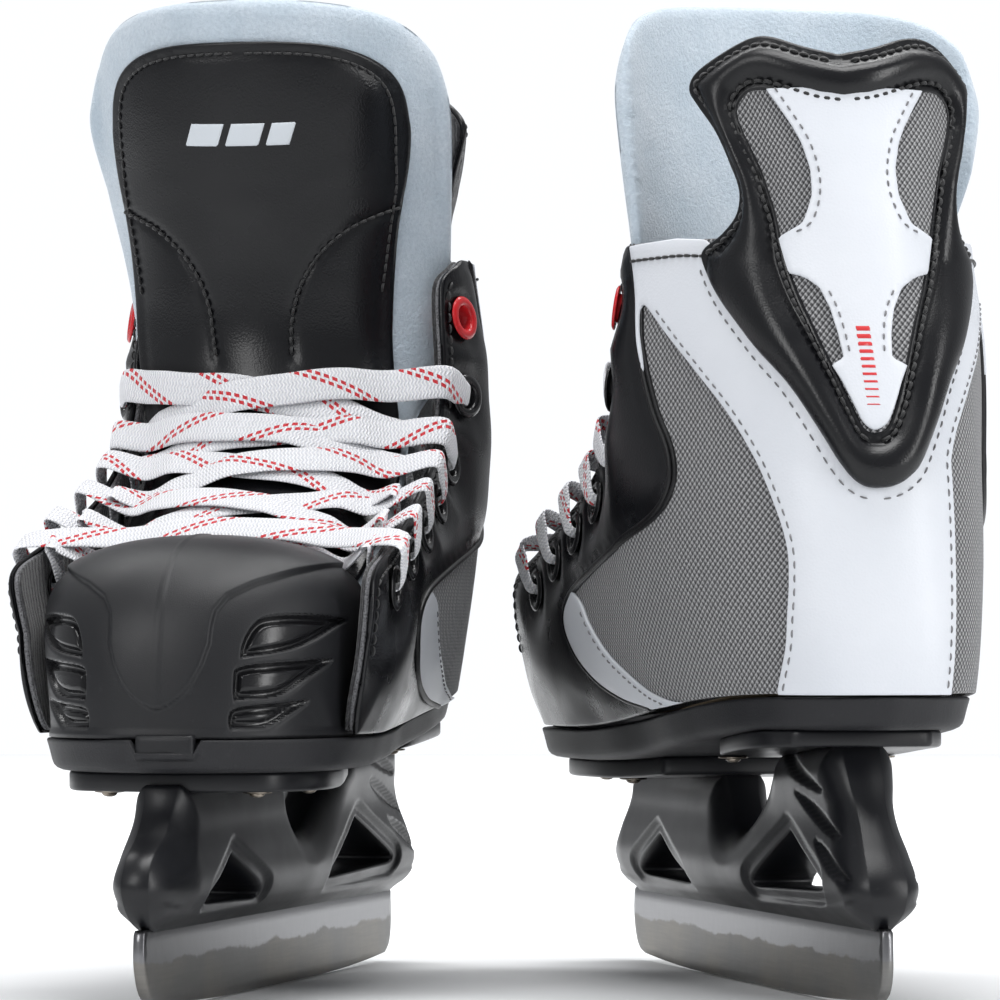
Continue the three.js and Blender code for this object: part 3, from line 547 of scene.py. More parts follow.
def add(skate, name, part, material, body, slot, replaces=(), twist=BOOT_TWIST):
    """Places a built part on the skate; body is a body's name, which the part is attached to, or two bodies,
    in which case the part is left unattached and its placement is baked into its mesh.
    """
    points, faces, *fabric = part
    full = f"{skate.name}_{name}"
    obj = as_object(full, skate.world(points, twist), faces, material, fabric[0] if fabric else None)
    if isinstance(body, str):
        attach(obj, body)
    else:
        bend = BENDS[body[1].removeprefix(skate.name + "_")]
        start, end = (skate.world([place])[0].tolist() for place in bend)
        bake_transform(obj)
    if replaces:
        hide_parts(*[f"{skate.name}_{node}" for node in replaces])
    return obj


# Where the soft pieces bend between the boot and their upper bodies, in the skate's frame
BENDS = {
    "tongue_top": ((-3, 0, 207), (-1, 0, 227)),
    "tendon_guard": ((-108, 0, 206), (-108, 0, 221)),
}

# --------------------------------------------------------------------------------------------- materials


class Shader:
    """Short way to write a material's nodes."""

    def __init__(self, name, base, roughness, metallic=0.0, **sockets):
        self.material = bpy.data.materials.new(name)
        self.material.use_nodes = True
        self.tree = self.material.node_tree
        self.surface = self.tree.nodes["Principled BSDF"]
        self.surface.inputs["Base Color"].default_value = (*base, 1)
        self.surface.inputs["Roughness"].default_value = roughness
        self.surface.inputs["Metallic"].default_value = metallic
        for socket, value in sockets.items():
            self.surface.inputs[socket.replace("_", " ")].default_value = value
        self.material.diffuse_color = (*base, 1)
        self.last_bump = None

    def node(self, kind, inputs=None, **settings):
        made = self.tree.nodes.new(kind)
        for key, value in settings.items():
            setattr(made, key, value)
        for key, value in (inputs or {}).items():
            if isinstance(value, bpy.types.NodeSocket):
                self.tree.links.new(value, made.inputs[key])
            else:
                made.inputs[key].default_value = value
        return made

    def place(self):
        return self.node("ShaderNodeTexCoord").outputs["Object"]

    def fabric(self):
        return self.node("ShaderNodeAttribute", attribute_name="fabric").outputs["Vector"]

    def noise(self, where, scale, detail=3.0, roughness=0.5):
        return self.node("ShaderNodeTexNoise", {"Vector": where, "Scale": scale, "Detail": detail,
                                                "Roughness": roughness}).outputs["Fac"]

    def cells(self, where, scale):
        return self.node("ShaderNodeTexVoronoi", {"Vector": where, "Scale": scale}).outputs["Distance"]

    def math(self, operation, a, b=0.0):
        return self.node("ShaderNodeMath", {0: a, 1: b}, operation=operation).outputs[0]

    def span(self, value, low, high, to_low=0.0, to_high=1.0):
        return self.node("ShaderNodeMapRange", {"Value": value, "From Min": low, "From Max": high,
                                                "To Min": to_low, "To Max": to_high}).outputs["Result"]

    def mix(self, factor, a, b):
        made = self.node("ShaderNodeMix", data_type="RGBA")
        for socket, value in zip([made.inputs[0], made.inputs[6], made.inputs[7]], [factor, a, b]):
            if isinstance(value, bpy.types.NodeSocket):
                self.tree.links.new(value, socket)
            else:
                socket.default_value = value if isinstance(value, float) else (*value, 1)
        return made.outputs[2]

    def axis(self, vector, name):
        return self.node("ShaderNodeSeparateXYZ", {"Vector": vector}).outputs[name]

    def colour(self, value):
        self.tree.links.new(value, self.surface.inputs["Base Color"])

    def roughness(self, value):
        self.tree.links.new(value, self.surface.inputs["Roughness"])

    def bump(self, height, distance, strength=1.0):
        """Adds a layer of bump on the ones before; distance is in metres."""
        inputs = {"Height": height, "Distance": distance, "Strength": strength}
        if self.last_bump is not None:
            inputs["Normal"] = self.last_bump
        self.last_bump = self.node("ShaderNodeBump", inputs).outputs["Normal"]
        self.tree.links.new(self.last_bump, self.surface.inputs["Normal"])


def leather_material(name, base, gloss, grain):
    """Smooth coated leather: fine pebbled grain, soft patches of gloss and faint dust."""
    s = Shader(name, base, gloss, Specular_IOR_Level=0.34)
    where = s.place()
    patches = s.noise(where, 38, 4)
    s.roughness(s.span(patches, 0.3, 0.7, gloss - 0.07, gloss + 0.1))
    dust = s.span(s.noise(where, 900, 2), 0.7, 0.8, 0.0, 0.35)
    lighter = tuple(min(1.0, c * 1.8 + 0.012) for c in base)
    s.colour(s.mix(s.math("MULTIPLY", dust, s.span(patches, 0.35, 0.7)), base, lighter))
    s.bump(s.noise(where, 20, 2), 0.004, 0.35)
    s.bump(s.cells(where, 1500), 0.00012, grain)
    return s.material


def white_material():
    """White coated leather with a fine grain and a faint unevenness."""
    s = Shader("white_leather", (0.80, 0.82, 0.86), 0.42, Specular_IOR_Level=0.45, Coat_Weight=0.05)
    where = s.place()
    tone = s.span(s.noise(where, 22, 4), 0.3, 0.7)
    s.colour(s.mix(tone, (0.63, 0.655, 0.70), (0.68, 0.70, 0.74)))
    s.roughness(s.span(s.noise(where, 60, 3), 0.3, 0.7, 0.36, 0.5))
    s.bump(s.noise(where, 30, 3), 0.0008, 0.3)
    s.bump(s.cells(where, 1300), 0.0001, 0.35)
    return s.material


def mesh_material():
    """Knitted mesh: light and dark yarns in staggered little loops over a dark ground."""
    s = Shader("mesh_fabric", (0.16, 0.16, 0.17), 0.75, Sheen_Weight=0.25, Sheen_Roughness=0.5)
    flat = s.fabric()
    pitch = 1.05
    u = s.math("MULTIPLY", s.axis(flat, "X"), math.pi / pitch)
    v = s.math("MULTIPLY", s.axis(flat, "Y"), math.pi / pitch)
    sway = s.math("MULTIPLY", s.noise(flat, 0.35, 2), 1.6)
    u = s.math("ADD", u, sway)
    v = s.math("SUBTRACT", v, sway)
    loops = s.math("MULTIPLY", s.math("SINE", u), s.math("SINE", v))
    slant = s.math("SINE", s.math("ADD", s.math("MULTIPLY", u, 2.0), s.math("MULTIPLY", v, 2.0)))
    height = s.math("ADD", loops, s.math("MULTIPLY", slant, 0.3))
    fray = s.math("MULTIPLY", s.noise(flat, 3.0, 3), 0.5)
    height = s.math("ADD", height, s.math("SUBTRACT", fray, 0.25))
    ground = s.mix(s.span(height, -0.75, -0.1), (0.018, 0.018, 0.02), (0.115, 0.115, 0.12))
    s.colour(s.mix(s.span(height, 0.0, 0.75), ground, (0.46, 0.46, 0.47)))
    s.bump(height, 0.0005, 0.8)
    return s.material


def felt_material():
    """Brushed felt: mottled pale blue-grey fibres with a soft sheen."""
    s = Shader("tongue_felt", (0.55, 0.63, 0.70), 0.95, Sheen_Weight=0.5, Sheen_Roughness=0.6)
    where = s.place()
    fine = s.noise(where, 900, 5, 0.7)
    broad = s.noise(where, 45, 4)
    base = s.mix(s.span(broad, 0.3, 0.7), (0.47, 0.56, 0.64), (0.60, 0.67, 0.74))
    s.colour(s.mix(s.span(fine, 0.38, 0.62), s.mix(0.5, base, (0.36, 0.44, 0.52)), base))
    s.bump(broad, 0.003, 0.35)
    s.bump(fine, 0.0007, 0.9)
    return s.material


def lining_material():
    """Black brushed lining with faint lengthwise ribs."""
    s = Shader("black_lining", (0.016, 0.016, 0.018), 0.95, Sheen_Weight=0.35, Sheen_Roughness=0.5)
    flat, where = s.fabric(), s.place()
    ribs = s.math("SINE", s.math("ADD", s.math("MULTIPLY", s.axis(flat, "X"), 2.6),
                                 s.math("MULTIPLY", s.noise(flat, 0.2, 2), 6.0)))
    fuzz = s.noise(where, 1100, 4, 0.7)
    s.colour(s.mix(s.span(fuzz, 0.4, 0.65), (0.008, 0.008, 0.009), (0.045, 0.045, 0.05)))
    s.bump(ribs, 0.0004, 0.35)
    s.bump(fuzz, 0.0006, 0.8)
    return s.material


def foam_material():
    """Raw edge of the grey foam between leather and lining."""
    s = Shader("foam_edge", (0.13, 0.13, 0.14), 0.95)
    pores = s.cells(s.place(), 1600)
    s.colour(s.mix(s.span(pores, 0.1, 0.6), (0.05, 0.05, 0.055), (0.19, 0.19, 0.2)))
    s.bump(pores, 0.0004, 0.8)
    return s.material


def plastic_material(name, base, gloss, texture, distance):
    """Moulded plastic with a faint texture, flow marks and rubbed spots."""
    s = Shader(name, base, gloss, Specular_IOR_Level=0.36)
    where = s.place()
    flow = s.noise(where, 30, 4)
    s.roughness(s.span(flow, 0.3, 0.7, gloss - 0.06, gloss + 0.08))
    rubbed = s.span(s.noise(where, 420, 3), 0.66, 0.74, 0.0, 0.3)
    s.colour(s.mix(rubbed, base, tuple(min(1.0, c * 1.7 + 0.01) for c in base)))
    s.bump(s.noise(where, 24, 3), 0.0006, 0.25)
    s.bump(s.noise(where, texture, 4, 0.65), distance, 0.6)
    return s.material


def steel_material():
    """Stainless steel: a polished band under the holder and a duller ground band below a ragged border."""
    s = Shader("blade_steel", (0.5, 0.5, 0.49), 0.3, 1.0)
    where = s.place()
    height = s.axis(where, "Z")
    ragged = s.math("MULTIPLY", s.math("SUBTRACT", s.noise(where, 60, 5, 0.65), 0.5), 0.008)
    border = s.math("ADD", height, ragged)
    polished = s.span(border, 0.0132, 0.0140)
    streak_place = s.node("ShaderNodeMapping", {"Vector": where, "Scale": (40, 40, 900)}).outputs["Vector"]
    streaks = s.noise(streak_place, 1.0, 4, 0.7)
    stains = s.span(s.noise(where, 35, 4), 0.42, 0.65)
    dull = s.mix(stains, (0.2, 0.197, 0.19), (0.25, 0.232, 0.203))
    dull = s.mix(s.span(streaks, 0.3, 0.7, 0.0, 0.5), dull, (0.16, 0.157, 0.153))
    s.colour(s.mix(polished, dull, (0.19, 0.19, 0.197)))
    s.roughness(s.span(polished, 0.0, 1.0, 0.42, 0.3))
    s.bump(streaks, 0.00006, 0.5)
    s.bump(s.noise(where, 180, 4), 0.0002, 0.25)
    return s.material


def lace_material():
    """White woven lace: herringbone ribs with slanting double rows of short red threads."""
    s = Shader("lace_weave", (0.82, 0.82, 0.84), 0.85, Sheen_Weight=0.3, Sheen_Roughness=0.5)
    flat = s.fabric()
    along, across = s.axis(flat, "X"), s.axis(flat, "Y")
    folded = s.math("ABSOLUTE", s.math("SUBTRACT", s.math("FRACT", s.math("DIVIDE", across, 2.2)), 0.5))
    ribs = s.math("SINE", s.math("ADD", s.math("MULTIPLY", along, 2 * math.pi / 1.1),
                                 s.math("MULTIPLY", folded, 6.0)))
    fuzz = s.noise(flat, 3.5, 4, 0.7)
    white = s.mix(s.span(ribs, -0.8, 0.6), (0.72, 0.73, 0.78), (0.92, 0.92, 0.94))
    slanted = s.math("ADD", along, s.math("MULTIPLY", across, 2.1))
    band = s.math("SUBTRACT", s.math("MODULO", s.math("ADD", slanted, 4000.0), 33.0), 16.5)
    rows = s.math("ABSOLUTE", s.math("SUBTRACT", s.math("ABSOLUTE", band), 2.1))
    in_row = s.math("LESS_THAN", rows, 1.25)
    side = s.math("MULTIPLY", s.math("GREATER_THAN", band, 0.0), 0.5)
    dashes = s.math("FRACT", s.math("ADD", s.math("DIVIDE", along, 2.5), side))
    dash = s.math("MULTIPLY", in_row, s.math("LESS_THAN", dashes, 0.62))
    s.colour(s.mix(dash, white, (0.62, 0.008, 0.02)))
    s.bump(ribs, 0.0003, 0.7)
    s.bump(fuzz, 0.0003, 0.6)
    return s.material


def thread_material(name, base):
    """Twisted sewing thread."""
    s = Shader(name, base, 0.55, Sheen_Weight=0.2)
    where = s.place()
    twist = s.noise(where, 2500, 2)
    s.colour(s.mix(s.span(twist, 0.35, 0.65), tuple(c * 0.55 for c in base), base))
    s.bump(twist, 0.0002, 0.7)
    return s.material


def print_material(name, base):
    """Printed figure with slightly worn ink."""
    s = Shader(name, base, 0.5)
    worn = s.span(s.noise(s.place(), 500, 3), 0.62, 0.7, 0.0, 0.4)
    s.colour(s.mix(worn, base, tuple(c * 0.5 + 0.35 for c in base)))
    s.bump(s.noise(s.place(), 1200, 3), 0.00008, 0.5)
    return s.material


def rivet_material():
    """Coppered steel rivets, darkened in patches."""
    s = Shader("rivet_metal", (0.42, 0.33, 0.24), 0.35, 1.0)
    patches = s.noise(s.place(), 350, 4)
    s.colour(s.mix(s.span(patches, 0.4, 0.6), (0.12, 0.10, 0.085), (0.42, 0.37, 0.31)))
    s.roughness(s.span(patches, 0.3, 0.7, 0.28, 0.5))
    s.bump(patches, 0.0002, 0.5)
    return s.material


LEATHER = leather_material("black_leather", (0.0055, 0.0057, 0.007), 0.27, 0.3)
BINDING = leather_material("black_binding", (0.005, 0.005, 0.006), 0.38, 0.6)
WHITE = white_material()
MESH = mesh_material()
FELT = felt_material()
LINING = lining_material()
FOAM = foam_material()
TOE_PLASTIC = plastic_material("toe_plastic", (0.0085, 0.0088, 0.0105), 0.42, 2600, 0.00012)
SLOT = plastic_material("slot_plastic", (0.008, 0.008, 0.009), 0.16, 1200, 0.00004)
HOLDER = plastic_material("holder_plastic", (0.006, 0.0063, 0.008), 0.34, 1500, 0.00005)
RUBBER = plastic_material("outsole_rubber", (0.011, 0.0112, 0.0135), 0.52, 1500, 0.00035)
STEEL = steel_material()
LACE = lace_material()
BLACK_THREAD = thread_material("black_thread", (0.012, 0.012, 0.013))
GREY_THREAD = thread_material("grey_thread", (0.22, 0.22, 0.23))
RED_ENAMEL = plastic_material("red_enamel", (0.55, 0.02, 0.025), 0.22, 900, 0.00003)
BLACK_ENAMEL = plastic_material("black_enamel", (0.01, 0.01, 0.011), 0.2, 900, 0.00003)
RED_PRINT = print_material("red_print", (0.62, 0.03, 0.035))
SILVER_PRINT = print_material("silver_print", (0.60, 0.64, 0.68))
RIVET = rivet_material()
BOARD = plastic_material("insole_board", (0.22, 0.17, 0.11), 0.85, 500, 0.0004)

# --------------------------------------------------------------------------------- blade, holder and sole

# Corners of the holder's two windows, and the ends of the grooves in its rear tower's side, as (x, z)
WINDOWS = [[(104, 29), (74.5, 42.5), (35, 28.2)], [(-24, 30.5), (-66, 48.5), (-112, 33)]]
TOWER_GROOVES = [((-56, 71.5), (-108, 60.5)), ((-75, 60.5), (-121, 47.5)), ((-97, 47), (-132, 35.5))]


def leaf(start, end, half_width):
    """Closed outline pointed at both ends."""
    start, end = np.array(start, float), np.array(end, float)
    t = np.linspace(0, 1, 24)[:, None]
    line = start + (end - start) * t
    across = np.array([start[1] - end[1], end[0] - start[0]]) / np.linalg.norm(end - start)
    out = across * half_width * np.sin(math.pi * t) ** 0.7
    return joined(line + out, (line - out)[::-1])


def filleted(corners, radius, steps=7):
    """Closed outline with its corners rounded off."""
    corners = np.asarray(corners, float)
    out = []
    for before, corner, after in zip(np.roll(corners, 1, 0), corners, np.roll(corners, -1, 0)):
        to, away = unit(before - corner), unit(after - corner)
        half = math.acos(float(to @ away)) / 2
        shorter = min(np.linalg.norm(before - corner), np.linalg.norm(after - corner))
        reach = min(radius / math.tan(half), 0.45 * shorter)
        start, end = corner + to * reach, corner + away * reach
        for t in np.linspace(0, 1, steps):
            out.append((1 - t) ** 2 * start + 2 * t * (1 - t) * corner + t**2 * end)
    return np.array(out)


def on_side(x, z, y):
    """Flat (x, z) of a side view, out by y."""
    return np.stack([x, np.broadcast_to(y, x.shape), z], 1)


def both_sides(top):
    """Panel faces symmetric about y = 0 at a half width top(d, flat)."""
    return top, (lambda d, flat: -top(d, flat))


def blade_runner(skate):
    def under(x):
        return np.maximum(0, np.abs(x) - FLAT_HALF_LENGTH) ** 2 / (2 * ROCKER_RADIUS)

    x = np.linspace(-128, 122, 90)
    end = BLADE_LENGTH / 2
    toe = curve([(122, under(122)), (128.5, 3.8), (132.6, 8), (end, 15), (134.4, 23)])
    heel = curve([(-134.6, 23), (-end, 12), (-132.8, 5.5), (-128, under(-128))])
    outline = joined(np.stack([x, under(x)], 1), toe, heel)
    half = STEEL_THICKNESS / 2

    def width(d, flat):
        return half - 0.35 * (1 - smoothstep(d, 0, 0.6))

    part = panel(outline, on_side, *both_sides(width), cell=2.6, rim=(0.3, 0.7))
    add(skate, "steel_runner", part, STEEL, skate.boot, "steel", ["blade_runner"], twist=0)


def holder_half_width(z):
    table = np.array([(22, 4.6), (25, 7.6), (28, 9.9), (35, 11.8), (43, 11.0), (51, 9.6), (57, 9.6),
                      (62, 10.6), (67, 11.4), (75, 12)], float)
    index = np.interp(z, table[:, 0], np.arange(len(table)))
    return spline_weights(index, len(table)) @ table[:, 1]


def blade_holder(skate):
    nose = curve([(126, 22.3), (133, 25), (138, 31), (138.6, 37), (134, 43.5), (124, 49), (117, 55.5),
                  (113, 63)])
    arch = curve([(13, 63), (9.5, 56), (5, 50), (-1, 46.6), (-9, 46), (-18, 48.6), (-29, 54), (-40, 60.5),
                  (-48, 66), (-54, 71)])
    tail = curve([(-108, 75), (-113, 67), (-118.5, 58), (-128, 46), (-135.5, 36), (-135.5, 28), (-130, 22.3)])
    outline = joined(nose, arch, tail)
    windows = [filleted(corners, 2.6) for corners in WINDOWS]
    grooves = [leaf(*ends, 2.3) for ends in TOWER_GROOVES]
    skirt = np.array([(-140, 31), (-110, 28.2), (-60, 27), (0, 25.6), (60, 25.4), (110, 27), (140, 31)],
                     float)

    def width(d, flat):
        half = holder_half_width(flat[:, 1]) * (1 - 0.3 * smoothstep(flat[:, 0], 112, 139))
        edge = np.clip(edge_distance(flat, [outline]) / 11, 0, 1)
        half = half * np.sqrt(0.2 + 0.8 * (1 - (1 - edge) ** 2))
        to_window = edge_distance(flat, windows)
        half = half - 1.6 * (1 - smoothstep(to_window, 3.0, 5.2)) * smoothstep(flat[:, 1], 26.0, 28.4)
        half = half - 0.8 * (1 - dome(to_window, 1))
        below = np.interp(flat[:, 0], skirt[:, 0], skirt[:, 1]) - flat[:, 1]
        half = half + 0.7 * smoothstep(below, -0.8, 0.6) * smoothstep(d, 1, 4)
        for groove in grooves:
            depth = np.where(inside(flat, groove), edge_distance(flat, [groove]), 0)
            half = half - 1.8 * smoothstep(depth, 0, 1.2)
        return np.maximum(half, 2.2)

    body = panel(outline, on_side, *both_sides(width), cell=1.15, holes=windows, rim=(0.3, 0.7, 1.1))
    plates = []
    for points, (low, high) in ((((8, 26), (55, 36), (80, 37), (100, 30), (107, 16)), FOREFOOT_PLATE_Z),
                                (((-112, 20), (-96, 28), (-62, 28), (-48, 22)), HEEL_PLATE_Z)):
        side = curve(points)
        plan = joined(side, curve([side[-1], side[-1] * (1.01, 0) + (2 * np.sign(side[-1, 0]), 0),
                                   side[-1] * (1, -1)]), side[::-1] * (1, -1),
                      curve([side[0] * (1, -1), side[0] * (1, 0) + (-2, 0), side[0]]))
        middle, half = (low + high - 1.2) / 2, (high - low + 1.2) / 2

        def on_sole(p, q, z, high=high):
            return np.stack([p, q, z - high + sole_under(p) + 0.1], 1)

        def rise(d, flat, half=half, middle=middle):
            return middle + half - 1.1 * (1 - dome(d, 1.1))

        def fall(d, flat, half=half, middle=middle):
            return middle - half + 1.1 * (1 - dome(d, 1.1))

        plates.append(panel(plan, on_sole, rise, fall, cell=3, rim=(0.15, 0.5, 1.1)))
    add(skate, "holder_body", merged([body, *plates]), HOLDER, skate.boot, "holder", ["blade_holder"],
        twist=0)


def rivets(skate):
    places = [(92, 22, 0), (92, -22, 0), (48, 25, 0), (48, -25, 0), (-56, 22.5, 1), (-56, -22.5, 1)]
    washer = [(1.5, 0.05), (4.2, 0.05), (4.35, -0.1), (4.2, -0.45), (3.0, -0.6), (1.5, -0.6)]
    head = [(0.02, -0.5), (2.3, -0.5), (2.2, -1.0), (1.6, -1.5), (0.8, -1.75), (0.02, -1.8)]
    for k, (x, y, heel) in enumerate(places):
        low, high = HEEL_PLATE_Z if heel else FOREFOOT_PLATE_Z
        z = sole_under(x) - (high - low) - 1.2
        parts = [(points + (x, y, z), faces) for points, faces in (lathe(washer, 28), lathe(head, 24))]
        add(skate, f"sole_rivet_{k + 1}", merged(parts), RIVET, skate.boot, "rivet", [f"rivet_{k + 1}"],
            twist=0)


SOLE_SIDE = [(-127.5, 6), (-124, 15), (-117, 24), (-106, 31), (-84, 36.8), (-48, 39.7), (-10, 39.7),
             (20, 42.7), (50, 46), (80, 46), (98, 41), (110, 32.5), (119, 20), (124, 8)]


def sole_outline():
    right = curve(SOLE_SIDE) * (1, -1)
    left = right * (1, -1) - np.stack([0 * right[:, 0], 2.6 * smoothstep(right[:, 0], 5, 50)], 1)
    toe = curve([left[-1], (125.2, 0), right[-1]])
    heel = curve([right[0], (-128.6, 0), left[0]])
    return joined(left, toe, right[::-1], heel)


def plan_slab(outline, low, high, profile, cell):
    """Body over a plan outline: rings at (inset, height from 0 to 1) from the bottom up, and smooth caps."""
    loop = anticlockwise(resample(outline, 2.2, closed=True))
    rings = []
    for inset_by, share in profile:
        ring = moved_in(loop, inset_by)
        z = low(ring[:, 0]) * (1 - share) + high(ring[:, 0]) * share
        rings.append(np.column_stack([ring, z]))
    n = len(loop)
    points = np.vstack(rings)
    faces = grid_faces(len(rings), n, around=True)
    parts = [(points, faces)]
    for ring, surface in ((rings[0], low), (rings[-1], high)):
        grid = np.array([(x, y) for x in np.arange(-130, 130, cell) for y in np.arange(-50, 50, cell)], float)
        grid = grid[inside(grid, ring[:, :2])]
        grid = grid[edge_distance(grid, [ring[:, :2]]) > cell * 0.6]
        edges = [(k, (k + 1) % n) for k in range(n)]
        found = delaunay_2d_cdt([Vector(p[:2]) for p in ring] + [Vector(p) for p in grid], edges, [], 1,
                                1e-5, False)
        flat = np.array([v[:] for v in found[0]])
        parts.append((np.column_stack([flat, surface(flat[:, 0])]), [tuple(f) for f in found[2]]))
    points, faces, _ = merged(parts)
    key = {}
    slot = np.array([key.setdefault(tuple(np.round(p, 3)), len(key)) for p in points])
    whole = np.zeros((len(key), 3))
    whole[slot] = points
    faces = [tuple(slot[k] for k in f) for f in faces]
    return whole, faces


def outsole(skate):
    profile = [(6.5, 0), (4.6, 0.03), (3.1, 0.1), (2.2, 0.2), (1.7, 0.34), (1.2, 0.55), (0.7, 0.75),
               (0.3, 0.88), (0.2, 0.94), (0.6, 0.985), (1.5, 1)]
    points, faces = plan_slab(sole_outline(), sole_under, sole_top, profile, 7)
    notch = (np.abs(points[:, 1]) < 9.2) & (points[:, 0] > 112) & (points[:, 2] > 72)
    points[notch, 2] -= 3.6
    obj = add(skate, "rubber_outsole", (points, faces), RUBBER, skate.boot, "rubber", ["outsole"])
    recalculated(obj)


def recalculated(obj):
    """Faces of a closed mesh turned outwards."""
    work = bmesh.new()
    work.from_mesh(obj.data)
    bmesh.ops.recalc_face_normals(work, faces=work.faces)
    work.to_mesh(obj.data)
    work.free()


def inner_soles(skate):
    for name, node, material, slot, inset_by, lift, thick in (
            ("insole_board", "lasting_board", BOARD, "board", 8, 0.3, 2),
            ("soft_footbed", "footbed", LINING, "lining", 9, 2.6, 3.5)):
        side = curve([(x, y - inset_by - 4 * smoothstep(x, 20, 60) - 8 * smoothstep(x, 86, 108))
                      for x, y in SOLE_SIDE if -118 < x < 112])
        outline = joined(side, curve([side[-1], side[-1] * (1, 0) + (3, 0), side[-1] * (1, -1)]),
                         side[::-1] * (1, -1),
                         curve([side[0] * (1, -1), side[0] * (1, 0) - (5, 0), side[0]]))
        dish = 0.0 if name == "insole_board" else 1.2

        def low(x, lift=lift):
            return sole_top(x) + lift

        def high(x, lift=lift, thick=thick, dish=dish):
            return sole_top(x) + lift + thick - dish * smoothstep(x, -110, -60) * 0.4

        profile = [(1.2, 0), (0.3, 0.1), (0, 0.4), (0, 0.7), (0.4, 0.93), (1.4, 1)]
        points, faces = plan_slab(outline, low, high, profile, 8)
        recalculated(add(skate, name, (points, faces), material, skate.boot, slot, [node]))


# ----------------------------------------------------------------------------------------------- toe cap

TOE = {"rear": 60, "front": 121, "half_width": 43, "lean": -2.7, "base": 76.3, "shoulder": 112, "crest": 133}


def toe_surface(u, v):
    """Outside of the toe cap: u goes round from the left side to the right, v from the sole up and back."""
    turn = math.pi * u
    sine, cosine = np.sin(turn), np.cos(turn)
    base_x = TOE["rear"] + (TOE["front"] - TOE["rear"]) * np.abs(sine) ** 0.8
    base_y = TOE["half_width"] * np.sign(cosine) * np.abs(cosine) ** 0.8 + TOE["lean"]
    top_x, top_y = TOE["rear"] + 3 * sine, 45.5 * cosine + TOE["lean"] * 0.6
    top_z = TOE["shoulder"] + (TOE["crest"] - TOE["shoulder"]) * np.abs(sine) ** 0.8
    climb = v * math.pi / 2
    inward = 1 - np.cos(climb) ** (2 / 3)
    upward = np.sin(climb) ** (2 / 3)
    return np.stack([base_x + (top_x - base_x) * inward,
                     base_y + (top_y - base_y) * inward + 3.5 * np.sin(math.pi * v) * cosine,
                     TOE["base"] + (top_z - TOE["base"]) * upward], -1)


# Half width of the shield on the toe cap's front by height
SHIELD = [(84.2, 0.0), (86, 4.2), (88.5, 7.5), (92, 10.2), (97, 12.8), (103, 14.6), (108, 14.8),
          (112, 15.4), (116, 18), (119.5, 24), (123, 33), (126, 43)]
# Slots on each side of the toe cap as (distance round from its front, height)
TOE_SLOTS = [[(24, 98.5), (24.5, 104), (28, 110), (35, 111.8), (50, 111.5), (64, 110), (58, 107), (42, 101)],
             [(23, 86.5), (22.5, 92), (24.5, 97), (42, 98.5), (60, 98.5), (48, 92), (38, 87.5)],
             [(22, 78.6), (21.5, 82), (24, 85.3), (38, 86.6), (51, 87), (42, 82), (34, 78.8)]]


def toe_cap(skate):
    columns, rows = 360, 130
    u = np.linspace(0, 1, columns)[None, :] * np.ones((rows, 1))
    v = (np.linspace(0, 1, rows) ** 1.25)[:, None] * np.ones((1, columns))
    outer = toe_surface(u, v)
    step = 0.003
    du = toe_surface(np.clip(u + step, 0, 1), v) - toe_surface(np.clip(u - step, 0, 1), v)
    dv = toe_surface(u, np.clip(v + step, 0, 1)) - toe_surface(u, np.clip(v - step, 0, 1))
    normal = unit(np.cross(dv, du))
    towards = outer - np.array([70, 0, 95])
    normal *= np.sign((normal * towards).sum(2))[..., None]
    line = toe_surface(np.linspace(0, 1, columns), np.full(columns, 0.3))
    run = runs_along(line)
    around = np.abs(run - run[columns // 2])[None, :] * np.ones((rows, 1))
    z = outer[..., 2]
    half = np.interp(z, *zip(*SHIELD), left=-1)
    across = np.abs(outer[..., 1] - TOE["lean"])
    ridge = 0.35 * (1 - smoothstep(across, 0.2, 0.8)) * (half > 0)
    relief = 1.5 * smoothstep(half - across, -0.5, 0.9) + ridge
    flat = np.stack([around, z], 2).reshape(-1, 2)
    depth = np.zeros(len(flat))
    for corners in TOE_SLOTS:
        slot = resample(curve([*corners, corners[0]], 5)[:-1], 1, closed=True)
        within = np.where(inside(flat, slot), edge_distance(flat, [slot]), 0)
        depth = np.maximum(depth, 2.4 * smoothstep(within, 0, 1.7) - 1.5 * smoothstep(within, 1.9, 3.6))
    relief = relief - depth.reshape(z.shape) + 0.5 * (1 - smoothstep(z, 77.5, 79.0))
    outer = outer + normal * relief[..., None]
    inner = toe_surface(u, v) - normal * 2.4
    inner[..., 2] = np.maximum(inner[..., 2], TOE["base"])
    n = rows * columns
    points = np.vstack([outer.reshape(-1, 3), inner.reshape(-1, 3)])
    faces = grid_faces(rows, columns) + [tuple(reversed(f)) for f in grid_faces(rows, columns, start=n)]
    border = [(0, i) for i in range(columns)] + [(j, columns - 1) for j in range(1, rows)]
    border += [(rows - 1, i) for i in range(columns - 2, -1, -1)] + [(j, 0) for j in range(rows - 2, 0, -1)]
    loop = [j * columns + i for j, i in border]
    faces += [(loop[k], loop[k - 1], loop[k - 1] + n, loop[k] + n) for k in range(len(loop))]
    obj = add(skate, "toe_shell", (points, faces), TOE_PLASTIC, skate.boot, "toe", ["toe_cap"])
    obj.data.materials.append(SLOT)
    centre = depth.reshape(rows, columns)
    glossy = [1 if k < (rows - 1) * (columns - 1) and
              centre[k // (columns - 1), k % (columns - 1)] > 0.5 else 0 for k in range(len(faces))]
    obj.data.polygons.foreach_set("material_index", glossy)
    recalculated(obj)
    notch = np.array([(-8.6, 71), (8.6, 71), (8.6, 77.4), (-8.6, 77.4)], float)

    def on_nose(y, z, depth):
        return np.stack([123.4 - 0.011 * y**2 + depth, y + 0 * z, z], 1)

    part = panel(notch, on_nose, *rounded(-4, 4.4, 0.5), cell=1.5, rim=(0.15, 0.5))
    add(skate, "toe_tab", part, TOE_PLASTIC, skate.boot, "toe")


# ------------------------------------------------------------------------------------- side of the upper


